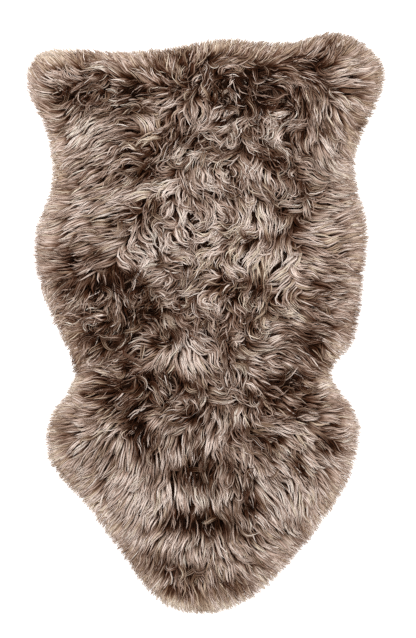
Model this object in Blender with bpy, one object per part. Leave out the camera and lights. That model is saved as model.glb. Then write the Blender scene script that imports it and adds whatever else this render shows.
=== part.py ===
"""A long-wool sheepskin laid flat, fleece up: a thin tanned pelt and the deep fleece that grows from it.

Metres, +Z up. The origin is the centre of the base. +Y runs from the tapered end to the broad end, and +X is to
the right of somebody who stands at the tapered end and looks down on the wool.
"""

import math
import random

import bmesh
import bpy
from mathutils import Vector, noise
from mathutils.geometry import delaunay_2d_cdt

MM = 0.001

# The wool's edge seen from above, anticlockwise from the left broad corner, as (place, x mm, y mm).
WOOL_EDGE = (
    ("left broad corner", -324, 505),
    ("left broad corner", -335, 445),
    ("left broad corner", -302, 366),
    ("left neck", -289, 275),
    ("left belly", -328, 170),
    ("left belly", -322, 90),
    ("left flank", -284, -16),
    ("left waist", -252, -112),
    ("left haunch", -296, -184),
    ("left haunch", -294, -266),
    ("left taper", -226, -354),
    ("left taper", -160, -448),
    ("left taper", -104, -526),
    ("tapered end", -16, -551),
    ("tapered end", 78, -536),
    ("right taper", 162, -468),
    ("right taper", 228, -374),
    ("right haunch", 272, -276),
    ("right haunch", 280, -188),
    ("right waist", 232, -106),
    ("right flank", 279, -42),
    ("right belly", 295, 66),
    ("right belly", 301, 172),
    ("right neck", 273, 302),
    ("right broad corner", 314, 405),
    ("right broad corner", 331, 476),
    ("right broad corner", 296, 530),
    ("right broad corner", 236, 551),
    ("broad end", 162, 530),
    ("broad end", 42, 538),
    ("broad end", -62, 526),
    ("broad end", -158, 513),
    ("left broad corner", -248, 517),
)

# Where the wool parts and lies low, as (x mm, y mm, half length mm, half width mm, heading deg, depth mm).
PARTINGS = (
    (-265, 432, 40, 18, 15, 8),
    (-134, 436, 38, 20, 60, 11),
    (-30, 480, 40, 20, 10, 7),
    (55, 440, 40, 24, 100, 10),
    (122, 424, 62, 30, 160, 14),
    (-128, 282, 30, 20, 120, 10),
    (-112, 205, 55, 17, 20, 8),
    (180, 225, 60, 16, 95, 10),
    (-255, 105, 30, 16, 100, 6),
    (-190, 62, 50, 26, 20, 12),
    (-106, 22, 34, 20, 110, 10),
    (-165, -42, 58, 22, 0, 11),
    (215, 35, 55, 15, 100, 7),
    (-142, -115, 46, 24, 160, 12),
    (-132, -205, 52, 18, 95, 9),
    (-28, -178, 40, 20, 30, 9),
    (150, -115, 52, 24, 10, 11),
    (110, -212, 46, 16, 170, 8),
    (235, -228, 30, 16, 90, 8),
    (-22, -285, 60, 20, 0, 13),
    (85, -338, 34, 16, 70, 8),
    (-22, -378, 62, 20, 0, 13),
    (-55, -470, 44, 17, 170, 9),
)

# Driving sizes.
PELT_THICK = 2.5 * MM
SKIN_GAP = 0.3 * MM
SKIN_SIDE_GAP = 1.0 * MM
OVERHANG = 46 * MM
LOCKS_ROUND = 148
LOCK_UNEVEN = 0.5
LOCK_REACH = 33 * MM
RIM_TUCK = 3 * MM
LOWER_BAND_TOP = 10 * MM
RIM_HEIGHT = 22 * MM
CROWN_HEIGHT = 45 * MM
CROWN_RUN = 85 * MM

# The lumps of the fleece.
TUFT_SIZE = 58 * MM
TUFT_RISE = 20 * MM
SWELL_SIZE = 150 * MM
SWELL_RISE = 4 * MM
TOP_GRID = 15 * MM

# How the locks of the rim taper and droop.
LOCK_MID_WIDTH = 0.72
LOCK_MID_DEPTH = 0.60
LOCK_MID_AT = 0.56
LOWER_TIP_HEIGHT = 1.5 * MM
UPPER_TIP_HEIGHT = 8 * MM
TIP_SHORTEST = 0.74
TIP_LONGEST = 1.16
ROW_SIDESTEP = 4 * MM
TIP_SIDESTEP = 3 * MM
WAVE_SIDESTEP = 9 * MM
WAVE_SIZE = 110 * MM
TAIL_LEAN = 0.12

# Each place on the edge is drawn in towards its own point well inside the skin.
INNER_X = 0.45
INNER_Y = 0.72

CURVE_STEPS = 16
SEED = 3

WOOL_COLOUR = (0.215, 0.145, 0.108, 1)
SKIN_COLOUR = (0.62, 0.48, 0.33, 1)


def clear_scene():
    for obj in list(bpy.data.objects):
        bpy.data.objects.remove(obj)


def make_material(name, colour, roughness):
    material = bpy.data.materials.new(name)
    material.use_nodes = True
    shader = material.node_tree.nodes["Principled BSDF"]
    shader.inputs["Base Color"].default_value = colour
    shader.inputs["Roughness"].default_value = roughness
    shader.inputs["Metallic"].default_value = 0
    return material


def curve_through(corners):
    """A dense closed line that runs smoothly through the corners."""
    line = []
    for i, start in enumerate(corners):
        before = corners[i - 1]
        end = corners[(i + 1) % len(corners)]
        after = corners[(i + 2) % len(corners)]
        for step in range(CURVE_STEPS):
            t = step / CURVE_STEPS
            slope = (end - before) * t
            bend = (2 * before - 5 * start + 4 * end - after) * t**2
            twist = (3 * start - before - 3 * end + after) * t**3
            line.append(start + (slope + bend + twist) / 2)
    return line


def uneven_steps(line, count):
    """That many points along a closed line, at steps of about the same length."""
    chance = random.Random(SEED)
    lengths = [(line[(i + 1) % len(line)] - p).length for i, p in enumerate(line)]
    step = sum(lengths) / count
    stops = [(k + chance.uniform(0, LOCK_UNEVEN)) * step for k in range(count)]
    points, walked = [], 0.0
    for i, start in enumerate(line):
        end = line[(i + 1) % len(line)]
        while len(points) < count and stops[len(points)] < walked + lengths[i]:
            share = (stops[len(points)] - walked) / lengths[i]
            points.append(start.lerp(end, share))
        walked += lengths[i]
    return points


def inward(point):
    """The way from a point of the wool's edge towards the middle of the skin."""
    return (Vector((point.x * INNER_X, point.y * INNER_Y)) - point).normalized()


def ring_inside(edge, distance):
    return [point + inward(point) * distance for point in edge]


def distance_to_ring(point, ring):
    """How far a point is from the nearest side of a closed ring."""
    nearest = math.inf
    for i, start in enumerate(ring):
        side = ring[(i + 1) % len(ring)] - start
        share = max(0.0, min(1.0, (point - start).dot(side) / side.length_squared))
        nearest = min(nearest, (point - start - side * share).length)
    return nearest


def is_inside(point, ring):
    inside = False
    for i, a in enumerate(ring):
        b = ring[i - 1]
        if (a.y > point.y) != (b.y > point.y):
            crossing = a.x + (point.y - a.y) * (b.x - a.x) / (b.y - a.y)
            inside ^= point.x < crossing
    return inside


def parting_depth(point):
    """How far the wool lies below its usual height where it parts."""
    depth = 0.0
    for x, y, half_length, half_width, heading, deep in PARTINGS:
        turn = math.radians(heading)
        off = point / MM - Vector((x, y))
        along = (off.x * math.cos(turn) + off.y * math.sin(turn)) / half_length
        across = (off.y * math.cos(turn) - off.x * math.sin(turn)) / half_width
        depth = max(depth, deep * MM * math.exp(-(along**2) - across**2))
    return depth


def wool_height(point, from_rim):
    """The height of the wool's top: a low crown with tufts, swells and partings, all fading out at the rim."""
    rise = math.sin(math.pi / 2 * min(1.0, from_rim / CROWN_RUN))
    crown = RIM_HEIGHT + (CROWN_HEIGHT - RIM_HEIGHT) * rise
    to_tuft = noise.voronoi(Vector((*point, 0)) / TUFT_SIZE)[0][0]
    swell = noise.noise(Vector((*point, 0)) / SWELL_SIZE)
    lumps = TUFT_RISE * (0.3 - to_tuft**2) + SWELL_RISE * swell - parting_depth(point)
    return crown + lumps * min(1.0, from_rim / (2 * TOP_GRID))


def grid_points(ring):
    """Staggered rows of points over the inside of a ring, each moved a little so that no row shows."""
    chance = random.Random(SEED)
    row_step = TOP_GRID * math.sqrt(3) / 2
    rows = int(max(p.y for p in ring) / row_step) + 1
    columns = int(max(abs(p.x) for p in ring) / TOP_GRID) + 1
    points = []
    for row in range(-rows, rows + 1):
        for column in range(-columns, columns + 1):
            stagger = 0.5 * (row % 2)
            move = Vector((chance.uniform(-0.2, 0.2), chance.uniform(-0.2, 0.2))) * TOP_GRID
            point = Vector(((column + stagger) * TOP_GRID, row * row_step)) + move
            if is_inside(point, ring) and distance_to_ring(point, ring) > 0.6 * TOP_GRID:
                points.append(point)
    return points


def add_ring(mesh, points, height):
    return [mesh.verts.new((p.x, p.y, height)) for p in points]


def join_rings(mesh, first, second):
    """The band of four-sided faces between two rings."""
    band = []
    for i in range(len(first)):
        k = (i + 1) % len(first)
        band.append(mesh.faces.new((first[i], first[k], second[k], second[i])))
    return band


def add_top(mesh, rim, ring):
    """Closes the rim with the lumpy top of the fleece."""
    inner = grid_points(ring)
    sides = [(i, (i + 1) % len(ring)) for i in range(len(ring))]
    flat, _, faces, sources, _, _ = delaunay_2d_cdt(ring + inner, sides, [], 1, 1e-7)
    verts = []
    for point, source in zip(flat, sources):
        if source[0] < len(ring):
            verts.append(rim[source[0]])
        else:
            height = wool_height(point, distance_to_ring(point, ring))
            verts.append(mesh.verts.new((point.x, point.y, height)))
    for face in faces:
        mesh.faces.new([verts[i] for i in face])


def pull_into_lock(face, edge, station, reach, tip_height, sidestep):
    """Narrows an extruded face to the middle of a lock, and returns where the lock's tip goes."""
    foot = face.calc_center_median()
    outward = -inward(edge[station])
    lean = outward + Vector((0, -TAIL_LEAN)) * (1 if outward.y < 0.5 else 0)
    way = Vector((*lean.normalized(), 0))
    along = Vector((-way.y, way.x, 0))
    rests = min(v.co.z for v in face.verts) == 0
    for vert in face.verts:
        off = vert.co - foot
        level = Vector((off.x, off.y, 0)) * LOCK_MID_WIDTH
        vert.co = foot + level + way * reach * LOCK_MID_AT + along * sidestep / 2
        if rests:
            vert.co.z = 0 if off.z < 0 else 2 * off.z * LOCK_MID_DEPTH
        else:
            vert.co.z = foot.z + (tip_height - foot.z) * 0.12 + off.z * LOCK_MID_DEPTH
    tip = foot + way * reach + along * sidestep
    tip.z = tip_height
    return tip


def add_locks(mesh, bands, edge):
    """Draws each face of the rim's two bands out into one tapered lock of wool."""
    chance = random.Random(SEED)
    for band, tip_height, side in zip(bands, (LOWER_TIP_HEIGHT, UPPER_TIP_HEIGHT), (1, -1)):
        drawn = bmesh.ops.extrude_discrete_faces(mesh, faces=band)["faces"]
        tips = []
        for station, face in enumerate(drawn):
            reach = LOCK_REACH * chance.uniform(TIP_SHORTEST, TIP_LONGEST)
            wave = noise.noise(Vector((*edge[station], 0)) / WAVE_SIZE)
            sidestep = WAVE_SIDESTEP * wave + side * ROW_SIDESTEP + chance.uniform(-1, 1) * TIP_SIDESTEP
            tips.append(pull_into_lock(face, edge, station, reach, tip_height, sidestep))
        points = bmesh.ops.poke(mesh, faces=drawn)["verts"]
        for vert, tip in zip(points, tips):
            vert.co = tip


def make_fleece(edge, material):
    """The fleece: a lumpy slab, hollowed below for the pelt, with tapered locks all round its rim."""
    recess = ring_inside(edge, OVERHANG - SKIN_SIDE_GAP)
    foot = ring_inside(edge, LOCK_REACH)
    belly = ring_inside(edge, LOCK_REACH - RIM_TUCK)
    shoulder = ring_inside(edge, LOCK_REACH + RIM_TUCK)
    built = bmesh.new()
    ceiling = add_ring(built, recess, PELT_THICK + SKIN_GAP)
    recess_foot = add_ring(built, recess, 0)
    rim_foot = add_ring(built, foot, 0)
    rim_belly = add_ring(built, belly, LOWER_BAND_TOP)
    rim_top = add_ring(built, shoulder, RIM_HEIGHT)
    built.faces.new(ceiling)
    join_rings(built, recess_foot, ceiling)
    join_rings(built, rim_foot, recess_foot)
    lower = join_rings(built, rim_foot, rim_belly)
    upper = join_rings(built, rim_belly, rim_top)
    add_top(built, rim_top, shoulder)
    add_locks(built, (lower, upper), edge)
    bmesh.ops.recalc_face_normals(built, faces=built.faces)
    mesh = bpy.data.meshes.new("fleece")
    built.to_mesh(mesh)
    built.free()
    mesh.shade_smooth()
    mesh.materials.append(material)
    return bpy.data.objects.new("fleece", mesh)


def make_pelt(edge, material):
    """The tanned skin under the wool, one flat sheet."""
    curve = bpy.data.curves.new("pelt", "CURVE")
    curve.dimensions = "2D"
    curve.fill_mode = "BOTH"
    curve.extrude = PELT_THICK / 2
    outline = ring_inside(edge, OVERHANG)
    spline = curve.splines.new("POLY")
    spline.points.add(len(outline) - 1)
    for point, place in zip(spline.points, outline):
        point.co = (place.x, place.y, 0, 1)
    spline.use_cyclic_u = True
    curve.materials.append(material)
    pelt = bpy.data.objects.new("pelt", curve)
    pelt.location.z = PELT_THICK / 2
    return pelt


def centre_on_origin(fleece, pelt):
    """Moves both pieces so that the wool's box is centred on the origin."""
    across = [v.co.x for v in fleece.data.vertices]
    along = [v.co.y for v in fleece.data.vertices]
    middle = Vector((min(across) + max(across), min(along) + max(along), 0)) / 2
    fleece.location -= middle
    pelt.location -= middle


def main():
    clear_scene()
    corners = [Vector((x, y)) * MM for _, x, y in WOOL_EDGE]
    edge = uneven_steps(curve_through(corners), LOCKS_ROUND)
    fleece = make_fleece(edge, make_material("wool", WOOL_COLOUR, 0.85))
    pelt = make_pelt(edge, make_material("skin", SKIN_COLOUR, 0.7))
    centre_on_origin(fleece, pelt)
    skin = bpy.data.collections.new("sheepskin")
    bpy.context.scene.collection.children.link(skin)
    for piece in (fleece, pelt):
        skin.objects.link(piece)


main()
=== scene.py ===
"""The looks of a long-wool sheepskin laid flat with the fleece up, seen from straight above."""

import math
from collections import namedtuple
from types import SimpleNamespace

import bpy
import numpy as np
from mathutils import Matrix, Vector, noise
from mathutils.bvhtree import BVHTree


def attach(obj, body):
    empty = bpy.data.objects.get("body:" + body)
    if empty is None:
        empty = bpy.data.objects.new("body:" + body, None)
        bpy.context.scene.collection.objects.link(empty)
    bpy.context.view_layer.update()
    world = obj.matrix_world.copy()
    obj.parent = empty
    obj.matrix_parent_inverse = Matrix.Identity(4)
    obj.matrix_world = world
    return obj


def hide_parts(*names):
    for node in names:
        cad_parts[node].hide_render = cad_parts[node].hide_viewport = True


MM = 0.001
SEED = 11
TURN = 2 * math.pi
TINY = 1e-9

# The camera hangs straight above, and a full frame is 1.216 m long at the wool's rim.
CAMERA_SPOT = (1.9 * MM, 2.9 * MM)
VIEW_LENGTH = 1.216
VIEW_HEIGHT = 10 * MM
LENS = 85
SENSOR = 36

# A wide pale floor that glows a little, a pale sky, and two soft lamps: (name, place, width in m, watts).
FLOOR_HALF = 60
FLOOR_PALE = 0.9
FLOOR_GLOW = 0.8
SKY = 0.75
LAMPS = (("key", (-1.3, 1.6, 2.6), 1.6, 75), ("fill", (1.8, -0.6, 2.4), 2.2, 30))

# How far the wool reaches past the skin's edge: (the direction from the middle in degrees, mm).
WOOL_REACH = (
    (-172, 47), (-155, 47), (-138, 56), (-126, 54), (-118, 49), (-110, 49), (-102, 45), (-96, 53),
    (-91, 57), (-83, 47), (-76, 41), (-70, 39), (-60, 48), (-53, 54), (-42, 57), (-32, 56), (-22, 49),
    (-8, 47), (5, 50), (18, 49), (30, 53), (43, 53), (50, 57), (56, 59), (60, 50), (64, 48), (70, 47),
    (78, 48), (88, 46), (96, 44), (104, 46), (112, 48), (121, 49), (126, 59), (130, 57), (137, 50),
    (144, 47), (155, 47), (165, 51), (180, 51),
)
# The way outward from the long shape's middle leans to its sides.
OUTWARD_X = 0.55
OUTWARD_Y = 0.28
REACH_ROUNDS = 4

# The skin, cut flat: its thickness, its width and length, its area, the shares of its outline that its rings
# follow, and how its cut edge is rounded: inwards, and as a share of the thickness.
PELT_THICK = 2.5 * MM
PELT_RINGS = (0.97, 0.9, 0.75, 0.5, 0.25)
PELT_ROUNDING = 0.8 * MM
PELT_ROUNDED = 0.175

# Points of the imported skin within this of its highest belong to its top, and are told apart to a micrometre.
LEVEL_WITHIN = 0.1 * MM
DECIMALS = 6

# The felt of underwool: its rings, its height as a share of the wool's, lower where the wool lies open, its
# bumps, and how it thins out past the skin's edge.
UNDERWOOL_AROUND = 180
UNDERWOOL_RINGS = 40
UNDERWOOL_PAST = 14 * MM
UNDERWOOL_SHARE = 0.34
UNDERWOOL_OPEN = 0.12
UNDERWOOL_BUMP = 2.5 * MM
UNDERWOOL_BUMP_SIZE = 7 * MM
UNDERWOOL_EDGE = 0.6 * MM
UNDERWOOL_SHOULDER = 0.7
UNDERWOOL_LOWEST = 3 * MM

# What varies over the skin is kept on a square grid that reaches a little past the wool, and is read just
# short of the last crossing. Chance is drawn on a coarse grid and softened on a finer one.
FIELD_STEP = 5 * MM
FIELD_MARGIN = 30 * MM
READ_SHORT = 1.001
CHANCE_FINENESS = 5
CHANCE_PASSES = 4
CHANCE_GAIN = 1.5

# The height of the wool: it rises in a curve from the edge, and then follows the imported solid's own height.
EDGE_HEIGHT = 3 * MM
RIM_HEIGHT = 23 * MM
RIM_RUN = 38 * MM
RIM_CURVE = 0.6
BLEND_BEFORE = 4 * MM
BLEND = 14 * MM

# The solid's height is read from above everything. Strands start at the skin's top, and stay above the floor.
ABOVE_ALL = 0.2
SKIN_TOP = 3 * MM
LOWEST = 1.3 * MM
FRINGE_LOWEST = 1.2 * MM

# How far a combed spot reaches, and swirls that chance adds to the combing, in two sizes. Here and below, a
# pair marked "by tangle" holds the value for combed wool and how much more it is in wholly tangled wool. Some
# values change only up to a mild tangle.
MILD = 0.5
COMB_BLUR = 14 * MM
SWIRL_SIZE = 48 * MM
FINE_SWIRL_SIZE = 24 * MM
FINE_SWIRL = 0.6
SWIRL_DEGREES_BY_TANGLE = (5, 55)

# How a light or dark patch fades to its rim, and how far patches add up.
SHADE_FADE = 0.7
SHADE_LIMITS = (-1.4, 1.2)

# Locks lie in jittered rows, and in two closer rows along the rim: (how far inside the edge, shift along it).
LOCK_STEP = 24.6 * MM
LOCK_JITTER = 0.4
LOCK_INSIDE = 14 * MM
RIM_LOCK_STEP = 20 * MM
RIM_JITTER = 0.3
RIM_ROWS = ((11 * MM, 0.0), (20 * MM, 0.5))

# A lock whose middle is less deep than this inside the edge is one of the rim, more and more over that run.
RIM_DEPTH = 34 * MM
RIM_FADE = 20 * MM

# A lock is followed both ways from its middle in small steps, along the comb but skewed and curled by chance,
# and forwards past its longest shown part. Its root is on the skin, and its tip stops at the ragged edge.
LOCK_LENGTH = 76 * MM
LENGTH_SPREAD = (0.85, 1.15)
TANGLED_SHORTER = 0.15
LONGEST = 99 * MM
SHOWN = 0.45
PATH_PAST = 1.495
MARCH = 3 * MM
SKEW_DEGREES_BY_TANGLE = (4, 24)
CURL_DEGREES_BY_TANGLE = (12, 80)
MOST_CURL = 3.0
CURL_GROWTH = 1.3
ROOT_CURL = 0.4
ROOT_OUTWARD = 0.6
ROOT_OUTWARD_RUN = 30 * MM
ROOT_INSIDE = 1.5 * MM
LOCK_PAST_EDGE = 5 * MM
RAGGED = 3 * MM
RAGGED_SIZE = 26 * MM
RAGGED_SPREAD = (-1.5 * MM, 2.5 * MM)

# A lock is a row of wisps that draw together at the tip, and a wisp is a few strands:
# (their place across the wisp, how deep they are sunk in it).
WISPS = 6
STRANDS = ((0.0, 0.12), (1.0, 0.5), (-1.0, 0.88))
SUNK_STRAND = 0.75
SUNK_WISP = 0.25
SUNK_CHANCE = 0.12
WISP_SHORTER = (-0.06, 0.24)
RIM_EVEN = 0.85
STRAND_SHORTER = (-0.08, 0.14)
LOCK_RADIUS = 12 * MM
RADIUS_SPREAD = (0.8, 1.2)
TANGLED_NARROWER = 0.30
WISP_SPAN = 0.9
WISP_CHANCE = 0.16
DRAWN_TOGETHER = (0.76, 1.04)
TANGLED_DRAWN = 0.50
ROOT_SPREAD = 0.85
WISP_RADIUS = 1.5 * MM
RIM_APART = 0.15
STRAND_CHANCE = 0.35
TIP_APART = 0.5
RIM_TIP_APART = 0.4
FLICK_BY_TANGLE = (1.6 * MM, 8 * MM)
RIM_FLICK = 0.6 * MM
STRAYS = 0.16
STRAYS_BY_TANGLE = (0.6, 1.0)
STRAYS_IN_DARK = 0.8
LOOSE_BY_TANGLE = (1.1 * MM, 4 * MM)
STRAY_LOOSE = 4 * MM
RIM_LOOSE = 0.8 * MM

# Each strand waves from side to side, nearly in step with its wisp and lock.
WAVE_LENGTH = (40 * MM, 64 * MM)
TANGLED_WAVE_SHORTER = 0.3
WAVE_DEPTH_BY_TANGLE = (1.3 * MM, 3.7 * MM)
WAVE_START = 2.5
WISP_PHASE_BY_TANGLE = (0.4, 0.8)
STRAND_PHASE_BY_TANGLE = (0.25, 0.5)

# Strands end a little past the wool's edge, unevenly, and further out in some tufts.
FRINGE = 1.4 * MM
FRINGE_UNEVEN = 2.8 * MM
TUFT = 14 * MM
TUFT_REACH_BY_TANGLE = (1.3 * MM, 9 * MM)
LEAST_SHARE = 0.05

# The height of a strand as a share of the wool's: lofty locks are higher, sunk strands and open places lower.
LEVEL = 0.92
LOFT = 0.09
LOFT_BY_TANGLE = (0.45, 1.1)
RIM_LESS_LOFTY = 0.2
SUNK_LEVEL_BY_TANGLE = (0.07, 0.12)
OPEN_LEVEL = 0.14
RISE_RUN_BY_TANGLE = (0.34, 0.12)
RISE_CHANCE = 0.05
ROOT_LEVEL = 0.32
LOCK_ROUNDNESS = 3 * MM
MOST_ROUNDNESS = 1.5
ROUND_HEIGHT = 25 * MM
TIP_LIFT = 4 * MM

# Strands are three-sided and flattened, and have more rings where the wool is tangled.
STRAND_RADIUS = (0.95 * MM, 1.85 * MM)
STRAND_WIDE = 1.35
STRAND_FLAT = 0.75
SIDES = 3
RIM_THINNER = 0.1
TIP_TAPER = 4
RIM_TAPER = 1.6
TAPER = 0.8
ROOT_THICKNESS = 0.75
BELLY = 0.3
TANGLED = 0.28
COMBED_RINGS = (0.0, 0.38, 0.58, 0.75, 0.90, 1.0)
TANGLED_RINGS = (0.0, 0.30, 0.45, 0.59, 0.72, 0.83, 0.93, 1.0)
REGIONS = ("taper", "haunches", "loin", "back", "neck", "shoulders", "broad_end")

# How pale a strand is, from 0 at a dark root to 1 at a pale tip, and what makes it paler or darker.
TONE_BY_TANGLE = (0.91, 0.04)
LOCK_TONE = 0.04
# Painted light and shade: higher locks are paler and lower ones darker.
LOFTY_LIGHT_AND_SHADE = 0.14
WISP_TONE = 0.11
STRAND_TONE = 0.11
RIM_WISP_TONE = 0.4
RIM_STRAND_TONE = 0.3
CONTRAST_BY_TANGLE = (0.46, 0.9)
# Painted shade: strands sunk deep in their lock are darker.
SUNK_SHADE_BY_TANGLE = (0.28, 0.36)
# Painted shade towards the sides of a lock.
SIDE_SHADE = 0.06
MOST_SIDE_SHADE = 1.2
RIM_TONE = 0.05
TONE_LIMITS = (0.1, 1.1)
# Strands are darker towards the root: partly the roots' own darker brown, partly painted shade deep in the
# fleece.
ROOT_TONE = 0.10
COMBED_ROOT_TONE = 0.16
ROOT_SHARE = 0.26
ROOT_FADE = 0.42
# Painted shade in the open places: how much it darkens each strand, much less for strays lying on top, and how
# much the full places are paled.
DULLING = (0.8, 1.4)
STRAY_DULLING = 0.15
PALE_DULLING = 0.7
DARK_SHADE = 0.62
PALE_SHADE = 0.56
# Painted light: strands are paler near the wool's edge, as if light came through their fine ends.
EDGE_PAINTED_LIGHT = 0.22
EDGE_DEPTH = 12 * MM

# The wool's colour map: dark to pale upwards, and columns of streaks side by side, in a few hues. The hue of
# a wisp is the step that its mood falls on, which changes slowly over the skin and is tanner at the rim.
HUES = 4
STREAKS = 24
STREAK_MARGIN = 0.1
MAP_FOOT = 0.02
MAP_HEIGHT = 0.95
STAGGER = 0.006
MOODS = (-0.55, -0.1, 0.8)
MOOD_SIZE = 90 * MM
MOOD_SHARE = 0.7
MOOD_CHANCE = 0.5
RIM_MOOD = 0.65
FRINGE_MOOD = 0.8

# The wool low at the rim: dull broad strands that mostly stop short of the edge, and fine pale ones that pass
# it. Each kind has how many, how far inside the edge they start and past it they end (the middle and how
# unevenly), and their radius, level and tone.
FringeKind = namedtuple("FringeKind", "many inset past radius level tone")
FRINGE_KINDS = (
    FringeKind(1900, (24 * MM, 38 * MM), (-7 * MM, 2 * MM), (1.5 * MM, 2.2 * MM),
               (0.22, 0.42), (0.46, 0.60)),
    FringeKind(1800, (10 * MM, 26 * MM), (2 * MM, 2.6 * MM), (0.5 * MM, 0.95 * MM),
               (0.35, 0.85), (0.70, 0.96)),
)
FRINGE_RINGS = (0.0, 0.40, 0.75, 1.0)
FRINGE_OUTWARD = 0.8
FRINGE_FAN = math.radians(12)
FRINGE_BOW = 1.5 * MM
FRINGE_LONGEST = 70 * MM
FRINGE_TRIES = 36
FRINGE_TAPER = 1.6
FRINGE_ROOT_TONE = 0.65
FRINGE_PALING = 1.5

# Loose curly wisps over the open and the tangled places.
CURLS = 230
CURL_TRIES = 30
CURLS_IN_DARK = 0.8
CURLS_IN_TANGLE = 0.5
CURLS_FROM_TANGLE = 0.25
CURL_STRANDS = 5
CURL_LENGTH = (30 * MM, 60 * MM)
CURL_LENGTH_SPREAD = (0.82, 1.08)
CURL_START = math.radians(42)
CURL_TURN = (0.8, 2.7)
CURL_TURN_CHANCE = 0.12
CURL_TURN_AT_ROOT = 0.25
CURL_SWAY = (0.2, 0.7)
CURL_SWAY_TURNS = 6
CURL_WIDTH = 5.0 * MM
CURL_WIDTH_CHANCE = 0.9 * MM
CURL_DRAWN = 0.55
CURL_LEVEL = (0.78, 0.98)
CURL_LEVEL_CHANCE = 0.02
CURL_ROOT_LEVEL = 0.66
CURL_RADIUS = (0.42 * MM, 0.78 * MM)
CURL_TAPER = 3
CURL_ROOT_RADIUS = 0.7
CURL_TONE = (0.34, 0.84)
CURL_TONE_CHANCE = 0.17
CURL_ROOT_TONE = 0.25
CURL_PALING = 1.6
# Painted shade on curls where the wool lies open.
CURL_OPEN_SHADE = 0.18
CURL_RINGS = (0.0, 0.16, 0.30, 0.43, 0.55, 0.67, 0.79, 0.90, 1.0)
CURL_MIDDLE = 4

# Colours, as (how far up, colour): the wool's from its darkest roots to its palest tips, a tint for each hue,
# the felt of underwool, and the suede.
WOOL_COLOURS = (
    (0.0, (0.009, 0.003, 0.001)),
    (0.25, (0.060, 0.020, 0.008)),
    (0.5, (0.20, 0.1215, 0.083)),
    (0.75, (0.475, 0.358, 0.291)),
    (1.0, (0.82, 0.72, 0.645)),
)
WOOL_TINTS = (
    (0.0, (0.965, 0.975, 0.94)),
    (0.25, (1.0, 0.985, 0.985)),
    (0.5, (1.0, 0.955, 0.945)),
    (0.75, (0.99, 0.96, 0.86)),
)
# The felt's dark colours are partly the lower wool's own brown and partly painted shade deep between the
# locks.
FELT_COLOURS = ((0.05, (0.010, 0.003, 0.001)), (0.30, (0.035, 0.014, 0.007)), (0.55, (0.110, 0.055, 0.033)))
SUEDE_COLOURS = ((0.30, (0.52, 0.385, 0.255)), (0.55, (0.62, 0.480, 0.330)), (0.75, (0.69, 0.555, 0.400)))

# Fine fibres across a strand, drawn out along it, and how rough wool and suede are: (least, how much more).
FIBRE_STRETCH = (600, 4, 1)
FIBRE_CONTRAST = 0.14
WOOL_ROUGHNESS = (0.5, 0.25)
SUEDE_ROUGHNESS = (0.75, 0.2)

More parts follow.
